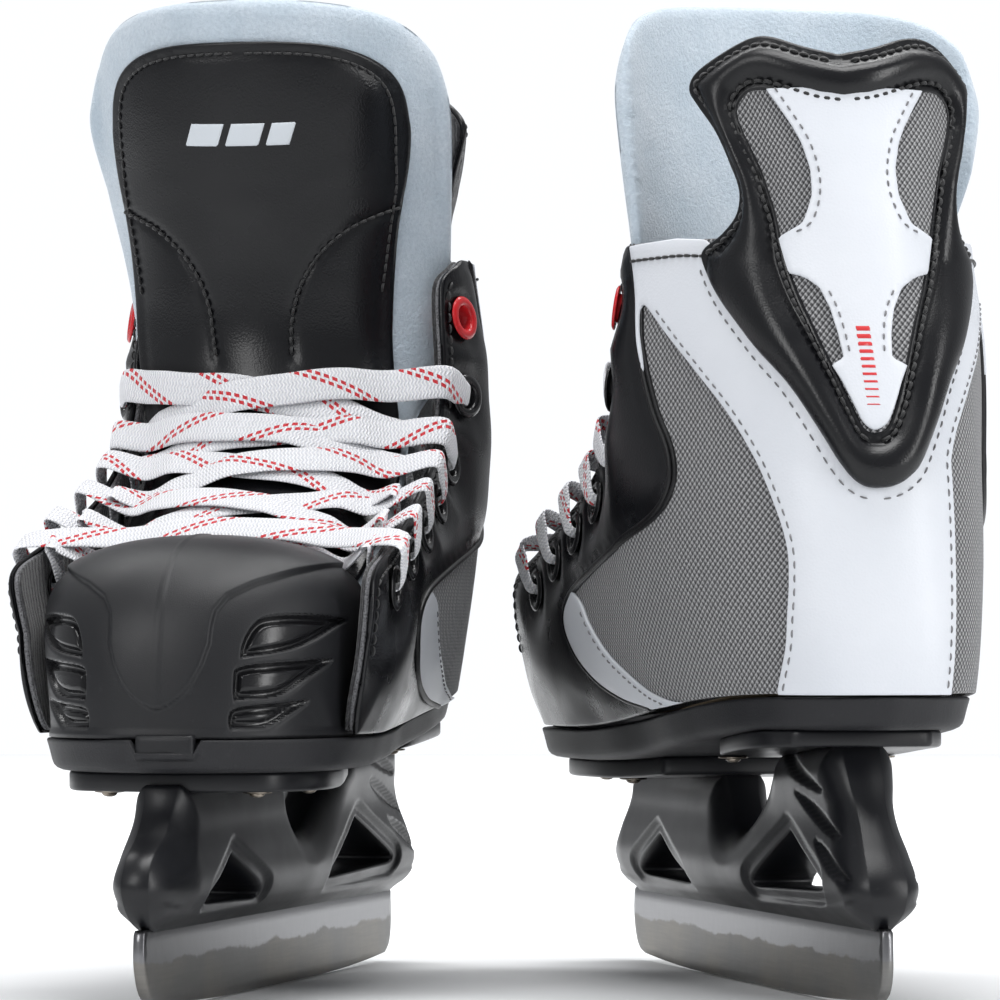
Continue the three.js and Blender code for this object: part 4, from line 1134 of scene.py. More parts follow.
def flap_lines(hand):
    """Flat outline parts of one side's facing: piping edge and free edge, from the sole up."""
    back = side_points(curve(PIPING), hand)
    front = side_points(curve(FLAP_EDGE), hand)
    return back, front


def facing_outline(hand):
    back, front = flap_lines(hand)
    sole = [(x, sole_top(x) + 0.7) for x in np.linspace(-38, 76, 14)]
    bottom = side_points(sole, hand)
    top = np.array([front[-1], back[-1]])
    return joined(bottom, front, top, back[::-1])


def eyelet_places(hand):
    return side_points(EYELETS, hand)


def facings(skate, hand, side):
    outline = facing_outline(hand)
    eyelets = eyelet_places(hand)
    holes = [centre + 4.3 * circle(24) for centre in eyelets]

    def top(d, flat):
        to_eyelet = np.min(np.linalg.norm(flat[:, None] - eyelets[None], axis=2), 1)
        puff = 1.5 * (1 - np.exp(-d / 7)) * smoothstep(to_eyelet, 6, 17)
        pocket = 0.9 * (1 - smoothstep(to_eyelet, 5, 11))
        creases = 0.35 * np.sin(flat[:, 0] * 0.11 + flat[:, 1] * 0.17) * np.sin(flat[:, 1] * 0.09 - 1)
        furrow = 0.3 * np.exp(-((d - 3.2) / 0.7) ** 2) * (flat[:, 1] > 100)
        return -0.7 + 0.7 * dome(d, 0.9) + puff - pocket + creases - furrow

    part = panel(outline, skate.on_boot, top, lambda d, flat: np.where(d < 1e-4, -0.7, -1.3), cell=1.6,
                 holes=holes, rim=(0.15, 0.5, 0.9))
    add(skate, f"{side}_facing_leather", part, LEATHER, skate.boot, "leather", [f"{side}_side_facing"])
    for name, material, low, thick, shrink in (("foam", FOAM, -3.1, 1.6, 0.5),
                                               ("lining", LINING, -4.0, 0.8, 0.2)):
        loop = moved_in(anticlockwise(resample(outline, 2, closed=True)), shrink)
        part = panel(loop, skate.on_boot, *rounded(low, thick), cell=3, holes=holes, rim=(0.2, 0.5))
        add(skate, f"{side}_facing_{name}", part, material, skate.boot, "lining")


def eyelets(skate, hand, side):
    black, red = [], []
    places = eyelet_places(hand)
    h, f = HOLE_RADIUS, FLANGE_RADIUS
    profile = [(h, -4.3), (h + 0.5, -4.6), (f - 1.6, -4.7), (f - 1.2, -4.4), (h + 0.7, -4.1), (h + 0.6, -1),
               (h + 0.8, 0.2),
               (f - 0.3, 0.1), (f, 0.35), (f - 0.2, 0.75), (f - 1.0, 1.15), (h + 1.2, 1.25),
               (h + 0.4, 0.95), (h, 0.3)]
    for k, (girth, z) in enumerate(places):
        centre = skate.on_boot([girth], [z], 0)[0]
        axis = skate.on_boot([girth], [z], 5)[0] - centre
        axis /= np.linalg.norm(axis)
        points, faces = lathe(profile, 40)
        target = red if k == 0 else black
        target.append((turned_to(points, centre - axis * 0.35, axis), faces))
    add(skate, f"{side}_eyelets", merged(black), BLACK_ENAMEL, skate.boot, "eyelet",
        [f"{side}_side_eyelet_row"])
    add(skate, f"{side}_red_eyelet", merged(red), RED_ENAMEL, skate.boot, "red", [f"{side}_side_top_eyelet"])


# Edge of the white counter along the mesh panel, from the sole up to the panel's rounded tip and down its
# front; the two sides of the boot differ
COUNTER_EDGE = {
    1: [(-113, 88.6), (-116.5, 101), (-117, 112), (-116.8, 121), (-115.5, 131), (-111.6, 142),
        (-104.8, 155), (-94.6, 168.3), (-82, 180), (-69, 191.3), (-60, 199), (-56.4, 201.4), (-54.9, 200.2),
        (-55.6, 195), (-58, 187), (-59.2, 182)],
    -1: [(-123.8, 88.6), (-124.8, 101.4), (-124.3, 115.6), (-122.9, 132), (-119.8, 149), (-113.8, 164),
         (-101.9, 177), (-86, 188), (-71, 195.5), (-61, 200.4), (-56.6, 201.8), (-54.9, 200.2),
         (-55.6, 195), (-58, 187), (-59.2, 182)],
}
COUNTER_FRONT = [(-58.4, 182), (-55.6, 189.5), (-53.6, 197), (-51.6, 204), (-48, 212), (-43.8, 219.4)]
# Edge between the lower white strip and the mesh
LOWER_TRIM = [(15, 118.4), (7, 115), (0.8, 108.2), (-10.2, 100.4), (-23.3, 94.6), (-36.8, 89.8),
              (-52, 86.6), (-64, 85.7)]


def quarter(skate, hand, side):
    heel = np.array([(0.6 * hand, z) for z in (219.5, 180, 140, 100, 88.7)])
    back, _ = flap_lines(hand)
    sole = side_points([(x, sole_top(x) + 0.8) for x in np.linspace(-112, -38, 12)], hand)
    outline = joined(heel, sole, back, heel[:1])
    part = panel(outline, skate.on_boot, *rounded(-1.6, 1.5), cell=2.0)
    add(skate, f"{side}_mesh_panel", part, MESH, skate.boot, "mesh", [f"{side}_side_quarter"])


def heel_counter(skate):
    left, right = (side_points(curve(COUNTER_EDGE[hand]), hand) for hand in (1, -1))
    front_left, front_right = (side_points(curve(COUNTER_FRONT), hand) for hand in (1, -1))
    sole = np.array([(g, 88.6) for g in np.linspace(right[0, 0], left[0, 0], 20)])
    collar = back_points([(44, 220.4), (38.8, 219.5), (34, 212), (26, 196), (15, 178), (5, 170)])
    other = collar[1:] * (-1, 1)
    notch_right = (other + np.stack([guard_shift(*other.T), 0 * other[:, 0]], 1))[::-1]
    notch = collar[1:] + np.stack([guard_shift(*collar[1:].T), 0 * collar[1:, 0]], 1)
    outline = joined(sole, left, front_left, collar[:1], notch, notch_right, collar[:1] * (-1, 1),
                     front_right[::-1],
                     right[::-1])
    part = panel(outline, skate.on_boot, *rounded(0.15, 1.3), cell=2.0)
    add(skate, "white_counter", part, WHITE, skate.boot, "white", ["heel_counter"])


def white_trims(skate, hand, side):
    lower = side_points(curve(LOWER_TRIM), hand)
    piping = side_points(curve(PIPING[:8]), hand)
    foot = side_points([(-64, sole_top(-64) + 0.8), (-50, sole_top(-50) + 0.8)], hand)
    outline = joined(foot, piping, lower)
    part = panel(outline, skate.on_boot, *rounded(-0.2, 1.2), cell=1.8)
    add(skate, f"{side}_lower_trim", part, WHITE, skate.boot, "white")


def side_pipings(skate, hand, side):
    back, _ = flap_lines(hand)
    cords = []
    for shift, radius, lift in ((-0.6, 1.0, 0.2), (1.5, 0.8, 0.0)):
        flat = resample(back - (hand * shift, 0), 1.6)
        line = skate.on_boot(flat[:, 0], flat[:, 1], lift)
        out = skate.on_boot(flat[:, 0], flat[:, 1], lift + 3) - line
        cords.append(tube(line, out, radius))
    add(skate, f"{side}_piping", merged(cords), BINDING, skate.boot, "leather")


def seam(surface, flat, lift, pitch, length, radius, rise):
    """Stitches along a flat line of a surface."""
    flat = resample(flat, 1.0)
    line = surface(flat[:, 0], flat[:, 1], lift)
    out = surface(flat[:, 0], flat[:, 1], np.asarray(lift) + 3.0) - line
    return stitch_run(line, out, pitch, length, radius, rise)


def side_stitches(skate, hand, side):
    grey, black = [], []
    dash = {"pitch": 3.9, "length": 2.3, "radius": 0.27, "rise": 0.2}
    rear = side_points(curve(COUNTER_EDGE[hand][:11]), hand)
    grey.append(seam(skate.on_boot, beside(rear, hand * 2.3), 1.5, **dash))
    lower = side_points(curve(LOWER_TRIM[1:-1]), hand)
    grey.append(seam(skate.on_boot, beside(lower, hand * 1.7), 1.05, **dash))
    root = guard_half(hand)
    root = root[root[:, 1] < 214]
    grey.append(seam(skate.on_boot, beside(root, hand * -3.0), 1.5, **dash))
    block = side_points(curve([(-45.5, 214.5), (-58, 214.8), (-70, 215), (-80, 214.2)]), hand)
    black.append(seam(skate.on_boot, block, 1.6, 3.2, 2.9, 0.5, 0.25))
    _, front = flap_lines(hand)
    flap = front[(front[:, 1] > 96) & (front[:, 1] < 216)]
    black.append(seam(skate.on_boot, beside(flap, 3.2 * hand), 0.55, 3.4, 2.7, 0.36, 0.2))
    add(skate, f"{side}_grey_stitches", merged(grey), GREY_THREAD, skate.boot, "mesh")
    add(skate, f"{side}_black_stitches", merged(black), BLACK_THREAD, skate.boot, "leather")


def upper_lining(skate):
    """Brushed lining inside the boot, all the way round from one facing to the other."""
    back = [side_points(curve(PIPING), hand) + (hand * 5, 0) for hand in (1, -1)]
    sole = [side_points([(x, sole_top(x) + 2) for x in np.linspace(-110, -38, 10)], hand) for hand in (1, -1)]
    outline = joined(sole[1][::-1], sole[0], back[0],
                     [(back[0][-1, 0] - 15, 219), (0, 218), (back[1][-1, 0] + 15, 219)],
                     back[1][::-1])
    part = panel(outline, skate.on_boot, *rounded(-3.3, 1.2), cell=3.4)
    add(skate, "upper_lining", part, LINING, skate.boot, "lining")


# ------------------------------------------------------------------------------------- collar and guard


def swollen(obj, voxel, pressure, cap, frames=20):
    """Padded look: the mesh is remeshed, swells as cloth under pressure, and moves no further than a cap."""
    scene = bpy.context.scene
    remesh = obj.modifiers.new("remesh", "REMESH")
    remesh.mode, remesh.voxel_size = "VOXEL", voxel
    settle(obj)
    start = np.array([v.co for v in obj.data.vertices])
    cloth = obj.modifiers.new("cloth", "CLOTH")
    cloth.settings.use_pressure = True
    cloth.settings.uniform_pressure_force = pressure
    cloth.settings.effector_weights.gravity = 0
    cloth.settings.quality = 5
    cloth.point_cache.frame_start, cloth.point_cache.frame_end = 1, frames
    for k in range(1, frames + 1):
        scene.frame_set(k)
    settle(obj)
    scene.frame_set(1)
    moved = np.array([v.co for v in obj.data.vertices]) - start
    far = np.linalg.norm(moved, axis=1)[:, None]
    moved *= np.minimum(1, cap / np.maximum(far, 1e-9))
    obj.data.vertices.foreach_set("co", (start + moved).ravel())
    smooth = obj.modifiers.new("smooth", "SMOOTH")
    smooth.iterations = 4
    obj.modifiers.new("fine", "SUBSURF").levels = 1
    settle(obj)
    obj.data.shade_smooth()


def settle(obj):
    """Applies an object's modifiers."""
    graph = bpy.context.evaluated_depsgraph_get()
    made = bpy.data.meshes.new_from_object(obj.evaluated_get(graph))
    old = obj.data
    obj.modifiers.clear()
    obj.data = made
    bpy.data.meshes.remove(old)


def collar_pad(skate):
    """Padding inside the collar with its rolled top edge."""
    reach = float(np.interp(4.1, _stations, _girths))
    outline = joined(curve([(-reach, 216), (-reach, 165), (-reach * 0.86, 118)]),
                     curve([(-reach * 0.86, 118), (0, 106), (reach * 0.86, 118)]),
                     curve([(reach * 0.86, 118), (reach, 165), (reach, 216)]),
                     [(reach, 216), (0, 217), (-reach, 216)])

    def top(d, flat):
        return -7.6 + 2.4 * dome(d, 4)

    def bottom(d, flat):
        quilt = 0.8 * np.sin(flat[:, 1] * 0.14) ** 2
        return -7.6 - (2.2 + quilt) * dome(d, 4)

    points, faces, fabric = panel(outline, skate.on_boot, top, bottom, cell=3.2, rim=(0.6, 1.8, 3.2))
    obj = as_object(f"{skate.name}_collar_pad", skate.world(points), faces, LINING, fabric)
    swollen(obj, 0.004, 4.0, 0.0015)
    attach(obj, skate.boot)
    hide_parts(f"{skate.name}_collar_lining")


# Outlines of the guard as (half width, height) from the bottom of its V to the middle of its crown
GUARD_OUTER = [(0.01, 146.5), (4.4, 147), (8.3, 148.6), (11.8, 151.4), (13.8, 154.2), (16.4, 159.6),
               (19, 165.2), (24.2, 176.3), (30.4, 187), (36, 200), (38.6, 211), (38.4, 216), (34.5, 220.5),
               (31.5, 226), (31, 233), (33.2, 241), (36.2, 250), (39.6, 257.5), (41.2, 262.5),
               (39.4, 267.5), (33, 273), (27, 276.4), (21, 276.8), (11, 273.6), (0.01, 271.2)]
GUARD_INNER = [(0.01, 162), (2.4, 162.7), (4.2, 164.8), (6.6, 170.5), (8.8, 176.5), (13.5, 190),
               (18.5, 205), (21.2, 218), (25.6, 237), (29.8, 249), (31, 255.5), (28.5, 260), (24, 260.6),
               (17.5, 258.4), (9, 255.6), (0.01, 254.4)]
# Half width of the white inlay by height
INLAY = [(162.6, 0.6), (163.4, 2.4), (165.2, 4.2), (170.7, 6.5), (176.3, 8.7), (181, 11), (183, 7.0),
         (190, 7.6), (197, 9), (203, 11.5), (206.5, 16), (207.5, 24), (217, 26), (218.6, 21), (222, 15.4),
         (230, 12.6), (237.5, 12.6), (245, 14.6), (250, 17), (256, 20.5), (262, 24)]
GUARD_LIFT = 1.7            # inner face of the guard above the boot's skin
GUARD_LEAN = (4.4, 6.3)     # how far its middle lies to the left of the heel's middle, low down and high up


def guard_shift(girth, z):
    """How far the guard's figure is moved to the boot's left, for it isn't sewn on symmetrically."""
    table = np.array([(z, w) for w, z in GUARD_OUTER if z < 258], float)
    reach = np.interp(z, table[:, 0], table[:, 1])
    low, high = GUARD_LEAN
    lean = low + (high - low) * smoothstep(z, 165, 200)
    left = lean * (1 - np.clip(girth / np.maximum(reach, 13), 0, 1))
    return np.where(girth > 0, left, lean + 2.4 * np.minimum(-girth / 38, 1))


def guard_loop(table):
    """Flat closed outline of a guard figure given by its left half, before the guard's shift."""
    return mirrored(back_points(curve(table, 6)))


def guard_half(hand):
    """Flat outer edge of the guard on one side, from the bottom of its V up."""
    half = back_points(curve(GUARD_OUTER, 6)) * (hand, 1)
    return half + np.stack([guard_shift(*half.T), 0 * half[:, 0]], 1)


def tendon_guard(skate):
    outer, inner = guard_loop(GUARD_OUTER), guard_loop(GUARD_INNER)
    bodies = (skate.boot, skate.guard)

    def on_guard(girth, z, offset):
        return skate.on_boot(girth + guard_shift(girth, z), z, offset)

    def border_top(d, flat):
        from_rim, from_inner = edge_distance(flat, [outer]), edge_distance(flat, [inner])
        share = from_rim / np.maximum(from_rim + from_inner, 1e-6)
        free = smoothstep(flat[:, 1], 205, 220)
        puff = 3.6 * np.sin(math.pi * np.clip((share - 0.16 * free) / (0.80 - 0.16 * free), 0, 1)) ** 0.8
        rim_stitch = 0.7 * free * np.exp(-((share - 0.2) / 0.035) ** 2)
        inner_stitch = 0.7 * np.exp(-((share - 0.82) / 0.035) ** 2)
        rim = 1.1 * dome(d, 1.1)
        return GUARD_LIFT + 0.9 + rim + puff - rim_stitch - inner_stitch + 0.3 * smoothstep(share, 0.86, 0.92)

    part = panel(outer, on_guard, border_top, lambda d,
                 flat: np.where(d < 1e-4, GUARD_LIFT + 0.9, GUARD_LIFT),
                 cell=1.3, holes=[inner], rim=(0.2, 0.6, 1.1))
    border = add(skate, "guard_border", part, LEATHER, bodies, "leather", ["guard_root", "tendon_guard"])
    loop = anticlockwise(resample(outer, 2, closed=True))
    back = panel(moved_in(loop, 0.8), on_guard, *rounded(0.7, 1.2), cell=3.0)
    add(skate, "guard_back", back, LINING, bodies, "lining")
    wide = anticlockwise(resample(inner, 1.5, closed=True))
    mesh = panel(moved_in(wide, -1.2), on_guard, *rounded(GUARD_LIFT + 0.4, 1.4), cell=1.8)
    add(skate, "guard_mesh", mesh, MESH, bodies, "mesh")
    figure = mirrored(back_points([(w, z) for z, w in INLAY]))
    inlay = clipped(figure, moved_in(wide, -0.8))
    part = panel(inlay, on_guard, *rounded(GUARD_LIFT + 1.9, 1.1), cell=1.6, rim=(0.15, 0.45))
    add(skate, "white_inlay", part, WHITE, bodies, "white", ["guard_inlay"])
    guard_stitches(skate, on_guard)
    guard_bars(skate, on_guard)


def clipped(figure, limit):
    """Flat closed figure kept inside a limit outline, row by row, where both are symmetric about 0."""
    low = max(figure[:, 1].min(), limit[:, 1].min() + 0.6)
    high = min(figure[:, 1].max(), limit[:, 1].max()) - 0.4

    def half_width(loop, z):
        after = np.roll(loop, -1, 0)
        hits = [a[0] + (z - a[1]) * (b[0] - a[0]) / (b[1] - a[1]) for a, b in zip(loop, after)
                if (a[1] > z) != (b[1] > z)]
        return max(hits) if hits else 0.0

    right = np.array([(min(half_width(figure, z), half_width(limit, z)), z) for z in np.arange(low, high,
                                                                                               0.8)])
    right = right[right[:, 0] > 0.3]
    return mirrored(right)


def guard_stitches(skate, on_guard):
    """Heavy black seams beside both edges of the padded border, and grey ones beside the inlay's edges."""
    black, grey = [], []
    bodies = (skate.boot, skate.guard)
    outer, inner = (back_points(curve(table, 6)) for table in (GUARD_OUTER, GUARD_INNER))
    lines = [(beside(outer[outer[:, 1] > 212], 3.0), 2.5), (beside(inner, -2.6), 2.4)]
    for line, height in lines:
        for hand in (1, -1):
            black.append(seam(on_guard, line * (hand, 1), GUARD_LIFT + height, 3.0, 2.8, 0.55, 0.5))
    upper = [(w - 2.6, z) for z, w in INLAY if z > 218]
    lower = [(w - 2.2, z) for z, w in INLAY if 183 <= z < 206]
    for table in (upper, lower):
        line = back_points(curve(table, 5))
        for hand in (1, -1):
            grey.append(seam(on_guard, line * (hand, 1), GUARD_LIFT + 3.0, 3.4, 2.0, 0.3, 0.25))
    add(skate, "guard_black_stitches", merged(black), BLACK_THREAD, bodies, "leather")
    add(skate, "guard_grey_stitches", merged(grey), GREY_THREAD, bodies, "mesh")


def guard_bars(skate, on_guard):
    """Plain printed bars on the lower part of the inlay, thinner towards the bottom."""
    bars = []
    for k in range(11):
        z, thick = 190.5 - 2.1 * k, 1.35 - 0.1 * k
        outline = np.array([(-2.1, z), (2.1, z), (2.1, z + thick), (-2.1, z + thick)], float)
        bars.append(panel(outline, on_guard, *rounded(GUARD_LIFT + 2.95, 0.16), cell=1.0, rim=(0.08,)))
    add(skate, "guard_bars", merged(bars), RED_PRINT, (skate.boot, skate.guard), "red")


# ------------------------------------------------------------------------------------------------ tongue

# Outlines as (across, height); below the hinge the tongue runs on under the lace
FACE_SIDE = [(46.4, 245), (46.6, 258), (45, 267), (41, 273.5), (34, 278.5), (24.5, 281.6), (13, 283),
             (0, 283.4)]
FELT_TOP = [(57, 252), (56, 264), (52, 276), (45, 285), (34, 291), (18, 294.4), (0, 295.4)]
FELT_SIDE = {1: [(53, 192), (54.5, 212), (56, 232), *FELT_TOP],
             -1: [(42, 192), (45, 212), (52, 232), *FELT_TOP]}
# Curved seams across the leather face, from its edge to the middle and down
FACE_SEAM = [(44.5, 231), (38, 229.5), (30, 226.5), (22, 220.5), (16.5, 213), (13.2, 204), (12.2, 196),
             (11.8, 188)]


def tongue_edge(side, low_run, low_width, mid_run, mid_width):
    """Flat edge of one half of a tongue layer, from its toe end to the middle of its top."""
    upper = np.array([(y, tongue_run(z)) for y, z in side], float)
    return curve([(low_width - 3, low_run), (low_width, low_run + 6), (mid_width, mid_run), *upper])


def tongue(skate):
    bodies = (skate.boot, skate.top)
    low = float(_tongue_runs[np.searchsorted(_tongue_steps, 0.02)])
    hinge = tongue_run(HINGE_Z)
    face_edge = tongue_edge(FACE_SIDE, low + 1, 38.6, hinge - 8, 40.6)
    face = mirrored(face_edge)
    felt_edges = [tongue_edge(FELT_SIDE[hand], low, 39.6, hinge - 45, 40.6) * (hand, 1) for hand in (1, -1)]
    felt = joined(felt_edges[0], felt_edges[1][::-1])

    def felt_top(d, flat):
        lumps = 0.35 * np.sin(flat[:, 0] * 0.19) * np.sin(flat[:, 1] * 0.13)
        return -5.8 + 3.4 * dome(d, 3.4) + lumps

    def felt_bottom(d, flat):
        return -5.8 - 3.4 * dome(d, 3.4)

    part = panel(felt, skate.on_tongue, felt_top, felt_bottom, cell=2.2, rim=(0.3, 1.0, 2.0))
    obj = add(skate, "tongue_felt", part, FELT, bodies, "felt", ["tongue_felt_lower", "tongue_felt_upper"])

    lines = [resample(curve([(hand * y, tongue_run(z)) for y, z in FACE_SEAM]), 1.5) for hand in (1, -1)]

    def face_top(d, flat):
        to_seam = np.min([np.min(np.linalg.norm(flat[:, None] - line[None], axis=2), 1) for line in lines], 0)
        rim = 0.75 * dome(d, 0.75)
        binding = 0.5 * np.exp(-((d - 3.4) / 0.8) ** 2) * (flat[:, 1] > hinge - 40)
        groove = 0.8 * np.exp(-(to_seam / 1.1) ** 2)
        padding = 1.1 * (1 - np.exp(-np.maximum(d - 3.6, 0) / 8)) * (1 - np.exp(-to_seam / 5))
        dents = 0.5 * np.sin(flat[:, 0] * 0.12 + 1.3) * np.sin(flat[:, 1] * 0.09 + 0.4)
        dents = dents * (1 - smoothstep(flat[:, 1], hinge + 18, hinge + 30))
        return -1.5 + rim + 0.2 - binding - groove + padding + dents * smoothstep(d, 2, 10)

    part = panel(face, skate.on_tongue, face_top, lambda d, flat: np.where(d < 1e-4, -1.3, -1.9), cell=1.6,
                 rim=(0.15, 0.45, 0.75))
    add(skate, "tongue_leather", part, LEATHER, bodies, "leather", ["tongue_face_lower", "tongue_face_upper"])

    black = []
    edge = curve([(y, tongue_run(z)) for y, z in [(41, 206), (43.6, 222), (46, 236), *FACE_SIDE]])
    for hand in (1, -1):
        black.append(seam(skate.on_tongue, beside(edge, 3.4) * (hand, 1), -0.6, 3.0, 2.7, 0.42, 0.35))
    for line in lines:
        black.append(seam(skate.on_tongue, line, -0.45, 3.0, 2.7, 0.5, 0.45))
    add(skate, "tongue_stitches", merged(black), BLACK_THREAD, bodies, "leather")
    emblem(skate, bodies)


def emblem(skate, bodies):
    """Plain printed bar emblem: three slanted blocks of different length."""
    parts = []
    middle = tongue_run(256)
    for left, right in ((-17, -6.5), (-4.2, 6.2), (8.4, 15.6)):
        corners = np.array([(left + 1.2, 3.4), (right + 1.2, 3.4), (right - 1.2, -3.4), (left - 1.2, -3.4)],
                           float)
        corners[:, 1] += middle
        parts.append(panel(corners, skate.on_tongue, *rounded(0.2, 0.6), cell=1.2, rim=(0.1, 0.25)))
    add(skate, "tongue_emblem", merged(parts), SILVER_PRINT, bodies, "white")


# -------------------------------------------------------------------------------------------------- lace


def eyelet_frame(skate, hand, index):
    """Centre, outward axis, direction up the row and direction over the flap's edge at one eyelet."""
    def at(i):
        girth, z = side_points([EYELETS[min(max(i, 0), len(EYELETS) - 1)]], hand)[0]
        return skate.on_boot([girth], [z], 0)[0], skate.on_boot([girth], [z], 5)[0]

    centre, beyond = at(index)
    out = unit(beyond - centre)
    up = at(index - 1)[0] - at(index + 1)[0]
    up = unit(up - out * (up @ out))
    edge = np.cross(out, up) * -hand
    return centre, out, up, edge if edge[0] + edge[2] > 0 else -edge


def lace_stops(skate):
    """Centre, direction across and width of the lace at each place it passes, from one end to the other."""
    frames = {hand: [eyelet_frame(skate, hand, i) for i in range(len(EYELETS))] for hand in (1, -1)}

    def put(f, along_edge, out, width=LACE_WIDTH):
        return f[0] + f[3] * along_edge + f[1] * out, f[2], width

    inner = -6.6

    def over(f):
        return [put(f, 14.5, 3.4), put(f, 9, 3.4), put(f, 4.4, 2.7, 7.6)]

    def through(f):
        return [put(f, 1.0, 1.4, 6), put(f, 0.2, -2.2, 5.6), put(f, 0.6, inner, 6)]

    def under(f):
        return [put(f, 4.5, inner - 0.5, 7.4), put(f, 10, inner - 0.3, 8), put(f, 14, inner + 0.3, 8.4)]

    steps = np.linspace(0, 8, 401)
    middle = spline_weights(steps, len(TONGUE_LINE)) @ TONGUE_LINE

    def crossing(hand, start):
        reach = []
        for i in (start, start - 1):
            f = frames[hand][i]
            point = f[0] + f[3] * 9
            reach.append(steps[np.argmin(np.hypot(middle[:, 0] - point[0], middle[:, 1] - point[2]))])
        raised = hand * (1 if start % 2 else -1) > 0
        out = []
        for k, y in enumerate([34, 26, 18, 9, 0, -9, -18, -28, -37]):
            mix = (k + 1) / 10
            high = k >= 3 if raised else k >= 7
            run = float(np.interp(reach[0] * (1 - mix) + reach[1] * mix, _tongue_steps, _tongue_runs))
            low, top = skate.on_tongue([hand * y] * 2, [run - 2, run + 2], 0)
            out.append((skate.on_tongue([hand * y], [run], 4.3 if high else 2.4)[0], unit(top - low),
                        LACE_WIDTH))
        return out

    def climb(start):
        out, hand = [], start
        for i in range(len(EYELETS) - 1, 1, -1):
            out += through(frames[hand][i]) + under(frames[hand][i]) + crossing(hand, i)
            hand = -hand
            out += over(frames[hand][i - 1])
        last = frames[hand][1]
        return out + through(last) + [put(last, -3, inner - 2.2, 7), put(last, -9, inner - 3.6, 8)]

    bar = [(np.array([55, y, 137.0 - y * y / 300]), np.array([-0.8, 0, 0.6]), LACE_WIDTH)
           for y in (30, 15, 0, -15, -30)]
    return climb(1)[::-1] + over(frames[1][-1])[::-1] + bar + over(frames[-1][-1]) + climb(-1)


def centripetal(points, per_span):
    """Smooth curve through unevenly spaced points that doesn't overshoot, and each of its points' index."""
    points = np.asarray(points, float)
    gaps = np.sqrt(np.maximum(np.linalg.norm(np.diff(points, axis=0), axis=1), 1e-6))
    knots = np.r_[0, np.cumsum(gaps)]
    slope = np.gradient(points, knots, axis=0)
    out, index = [], []
    for i in range(len(points) - 1):
        width = knots[i + 1] - knots[i]
        for t in np.linspace(0, 1, per_span, endpoint=False):
            out.append((2 * t**3 - 3 * t**2 + 1) * points[i] + (t**3 - 2 * t**2 + t) * width * slope[i]
                       + (3 * t**2 - 2 * t**3) * points[i + 1] + (t**3 - t**2) * width * slope[i + 1])
            index.append(i + t)
    return np.vstack([out, points[-1:]]), np.array([*index, len(points) - 1.0])


def lace(skate):
    stops = lace_stops(skate)
    line, index = centripetal([s[0] for s in stops], 8)
    whole = np.arange(len(stops))
    up = sampled(index, whole, np.array([s[1] for s in stops]))
    width = np.interp(index, whole, [s[2] for s in stops])
    across, out = frames_along(line, up)
    run = runs_along(line)
    sway = 0.35 * np.sin(run * 0.19) + 0.25 * np.sin(run * 0.083 + 1)
    centre = line + across * sway[:, None]
    half = width / 2
    share = np.cos(np.linspace(0, math.pi, 9))
    bulge = LACE_THICKNESS / 2 * np.sqrt(np.maximum(1 - share**4, 0.02))
    section = [(w, b) for w, b in zip(share, bulge)] + [(w, -b) for w,
                                                        b in zip(share[::-1], bulge[::-1])][1:-1]
    rings = np.stack([centre + across * (half * w)[:, None] + out * b for w, b in section], 1)
    points, faces = lofted(rings)
    n = len(section)
    flat = np.stack([np.repeat(run, n), (half[:, None] * np.array([w for w, _ in section])[None]).ravel()], 1)
    flat = np.vstack([flat, [[0, 0], [run[-1], 0]]])
    add(skate, "woven_lace", (points, faces, flat), LACE, skate.boot, "lace", ["lace"])


# -------------------------------------------------------------------------------- camera, light and stage


def camera():
    data = bpy.data.cameras.new("camera")
    data.lens, data.sensor_width = 206.95, 36
    data.clip_end = 20
    obj = bpy.data.objects.new("camera", data)
    obj.location = (-0.0029, -1.7391, 0.1095)
    obj.rotation_euler = (math.pi / 2 + 0.021, 0, 0)
    bpy.context.scene.collection.objects.link(obj)
    bpy.context.scene.camera = obj


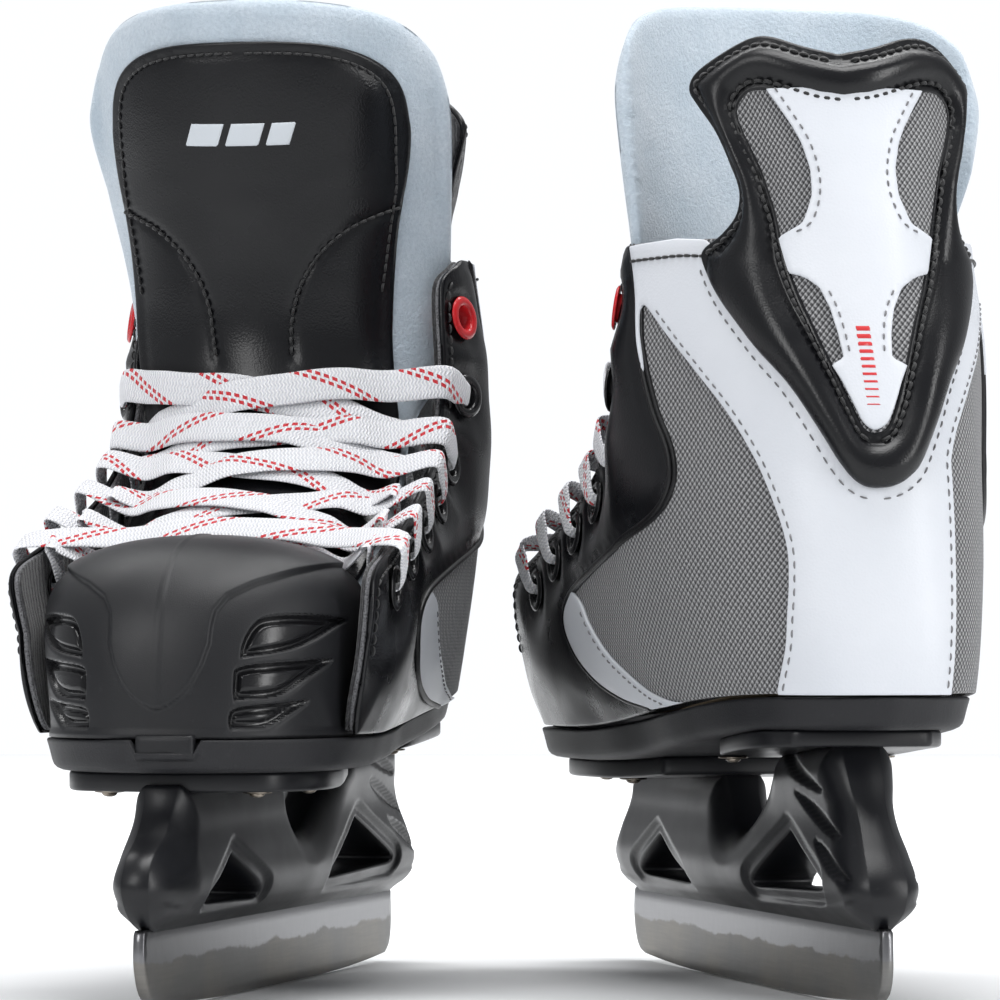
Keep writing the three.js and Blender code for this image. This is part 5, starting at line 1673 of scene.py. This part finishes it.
def area_light(name, place, target, size, power):
    data = bpy.data.lights.new(name, "AREA")
    data.shape, data.size, data.size_y = "RECTANGLE", *size
    data.energy = power
    obj = bpy.data.objects.new(name, data)
    obj.location = place
    obj.rotation_euler = (Vector(target) - Vector(place)).to_track_quat("-Z", "Y").to_euler()
    bpy.context.scene.collection.objects.link(obj)


def studio():
    """Soft light all round, a white surround behind the object, four area lights and a pale floor."""
    world = bpy.data.worlds.new("studio")
    world.use_nodes = True
    tree = world.node_tree
    background = tree.nodes["Background"]
    background.inputs["Color"].default_value = (0.95, 0.97, 1.0, 1)
    seen = tree.nodes.new("ShaderNodeLightPath").outputs["Is Camera Ray"]
    strength = tree.nodes.new("ShaderNodeMapRange")
    strength.inputs["To Min"].default_value = 0.4
    strength.inputs["To Max"].default_value = 1.05
    tree.links.new(seen, strength.inputs["Value"])
    tree.links.new(strength.outputs["Result"], background.inputs["Strength"])
    bpy.context.scene.world = world
    area_light("key_light", (-1.0, -1.3, 1.0), (-0.02, 0, 0.15), (0.6, 0.9), 10)
    area_light("fill_light", (1.3, -0.8, 0.55), (0.02, 0, 0.15), (0.3, 1.1), 9)
    area_light("top_light", (0.1, -0.2, 1.3), (0, 0, 0.1), (0.9, 0.5), 11)
    area_light("far_floor_light", (0, 1.0, 2.0), (0, 2.6, 0.4), (3, 1), 110)
    floor = as_object("pale_floor", [(-3, -3, -0.0005), (3, -3, -0.0005), (3, 3, -0.0005), (-3, 3, -0.0005)],
                      [(0, 1, 2, 3)], Shader("floor_paint", (0.86, 0.87, 0.88), 0.6).material)
    bpy.context.scene.view_settings.view_transform = "Standard"


# ----------------------------------------------------------------------------------------------- assembly

camera()
studio()
for skate_name, where in PLACES.items():
    skate = Skate(skate_name, **where)
    blade_runner(skate)
    blade_holder(skate)
    rivets(skate)
    outsole(skate)
    inner_soles(skate)
    toe_cap(skate)
    for hand, side in ((1, "left"), (-1, "right")):
        facings(skate, hand, side)
        eyelets(skate, hand, side)
        quarter(skate, hand, side)
        white_trims(skate, hand, side)
        side_pipings(skate, hand, side)
        side_stitches(skate, hand, side)
    upper_lining(skate)
    heel_counter(skate)
    collar_pad(skate)
    tendon_guard(skate)
    tongue(skate)
    lace(skate)
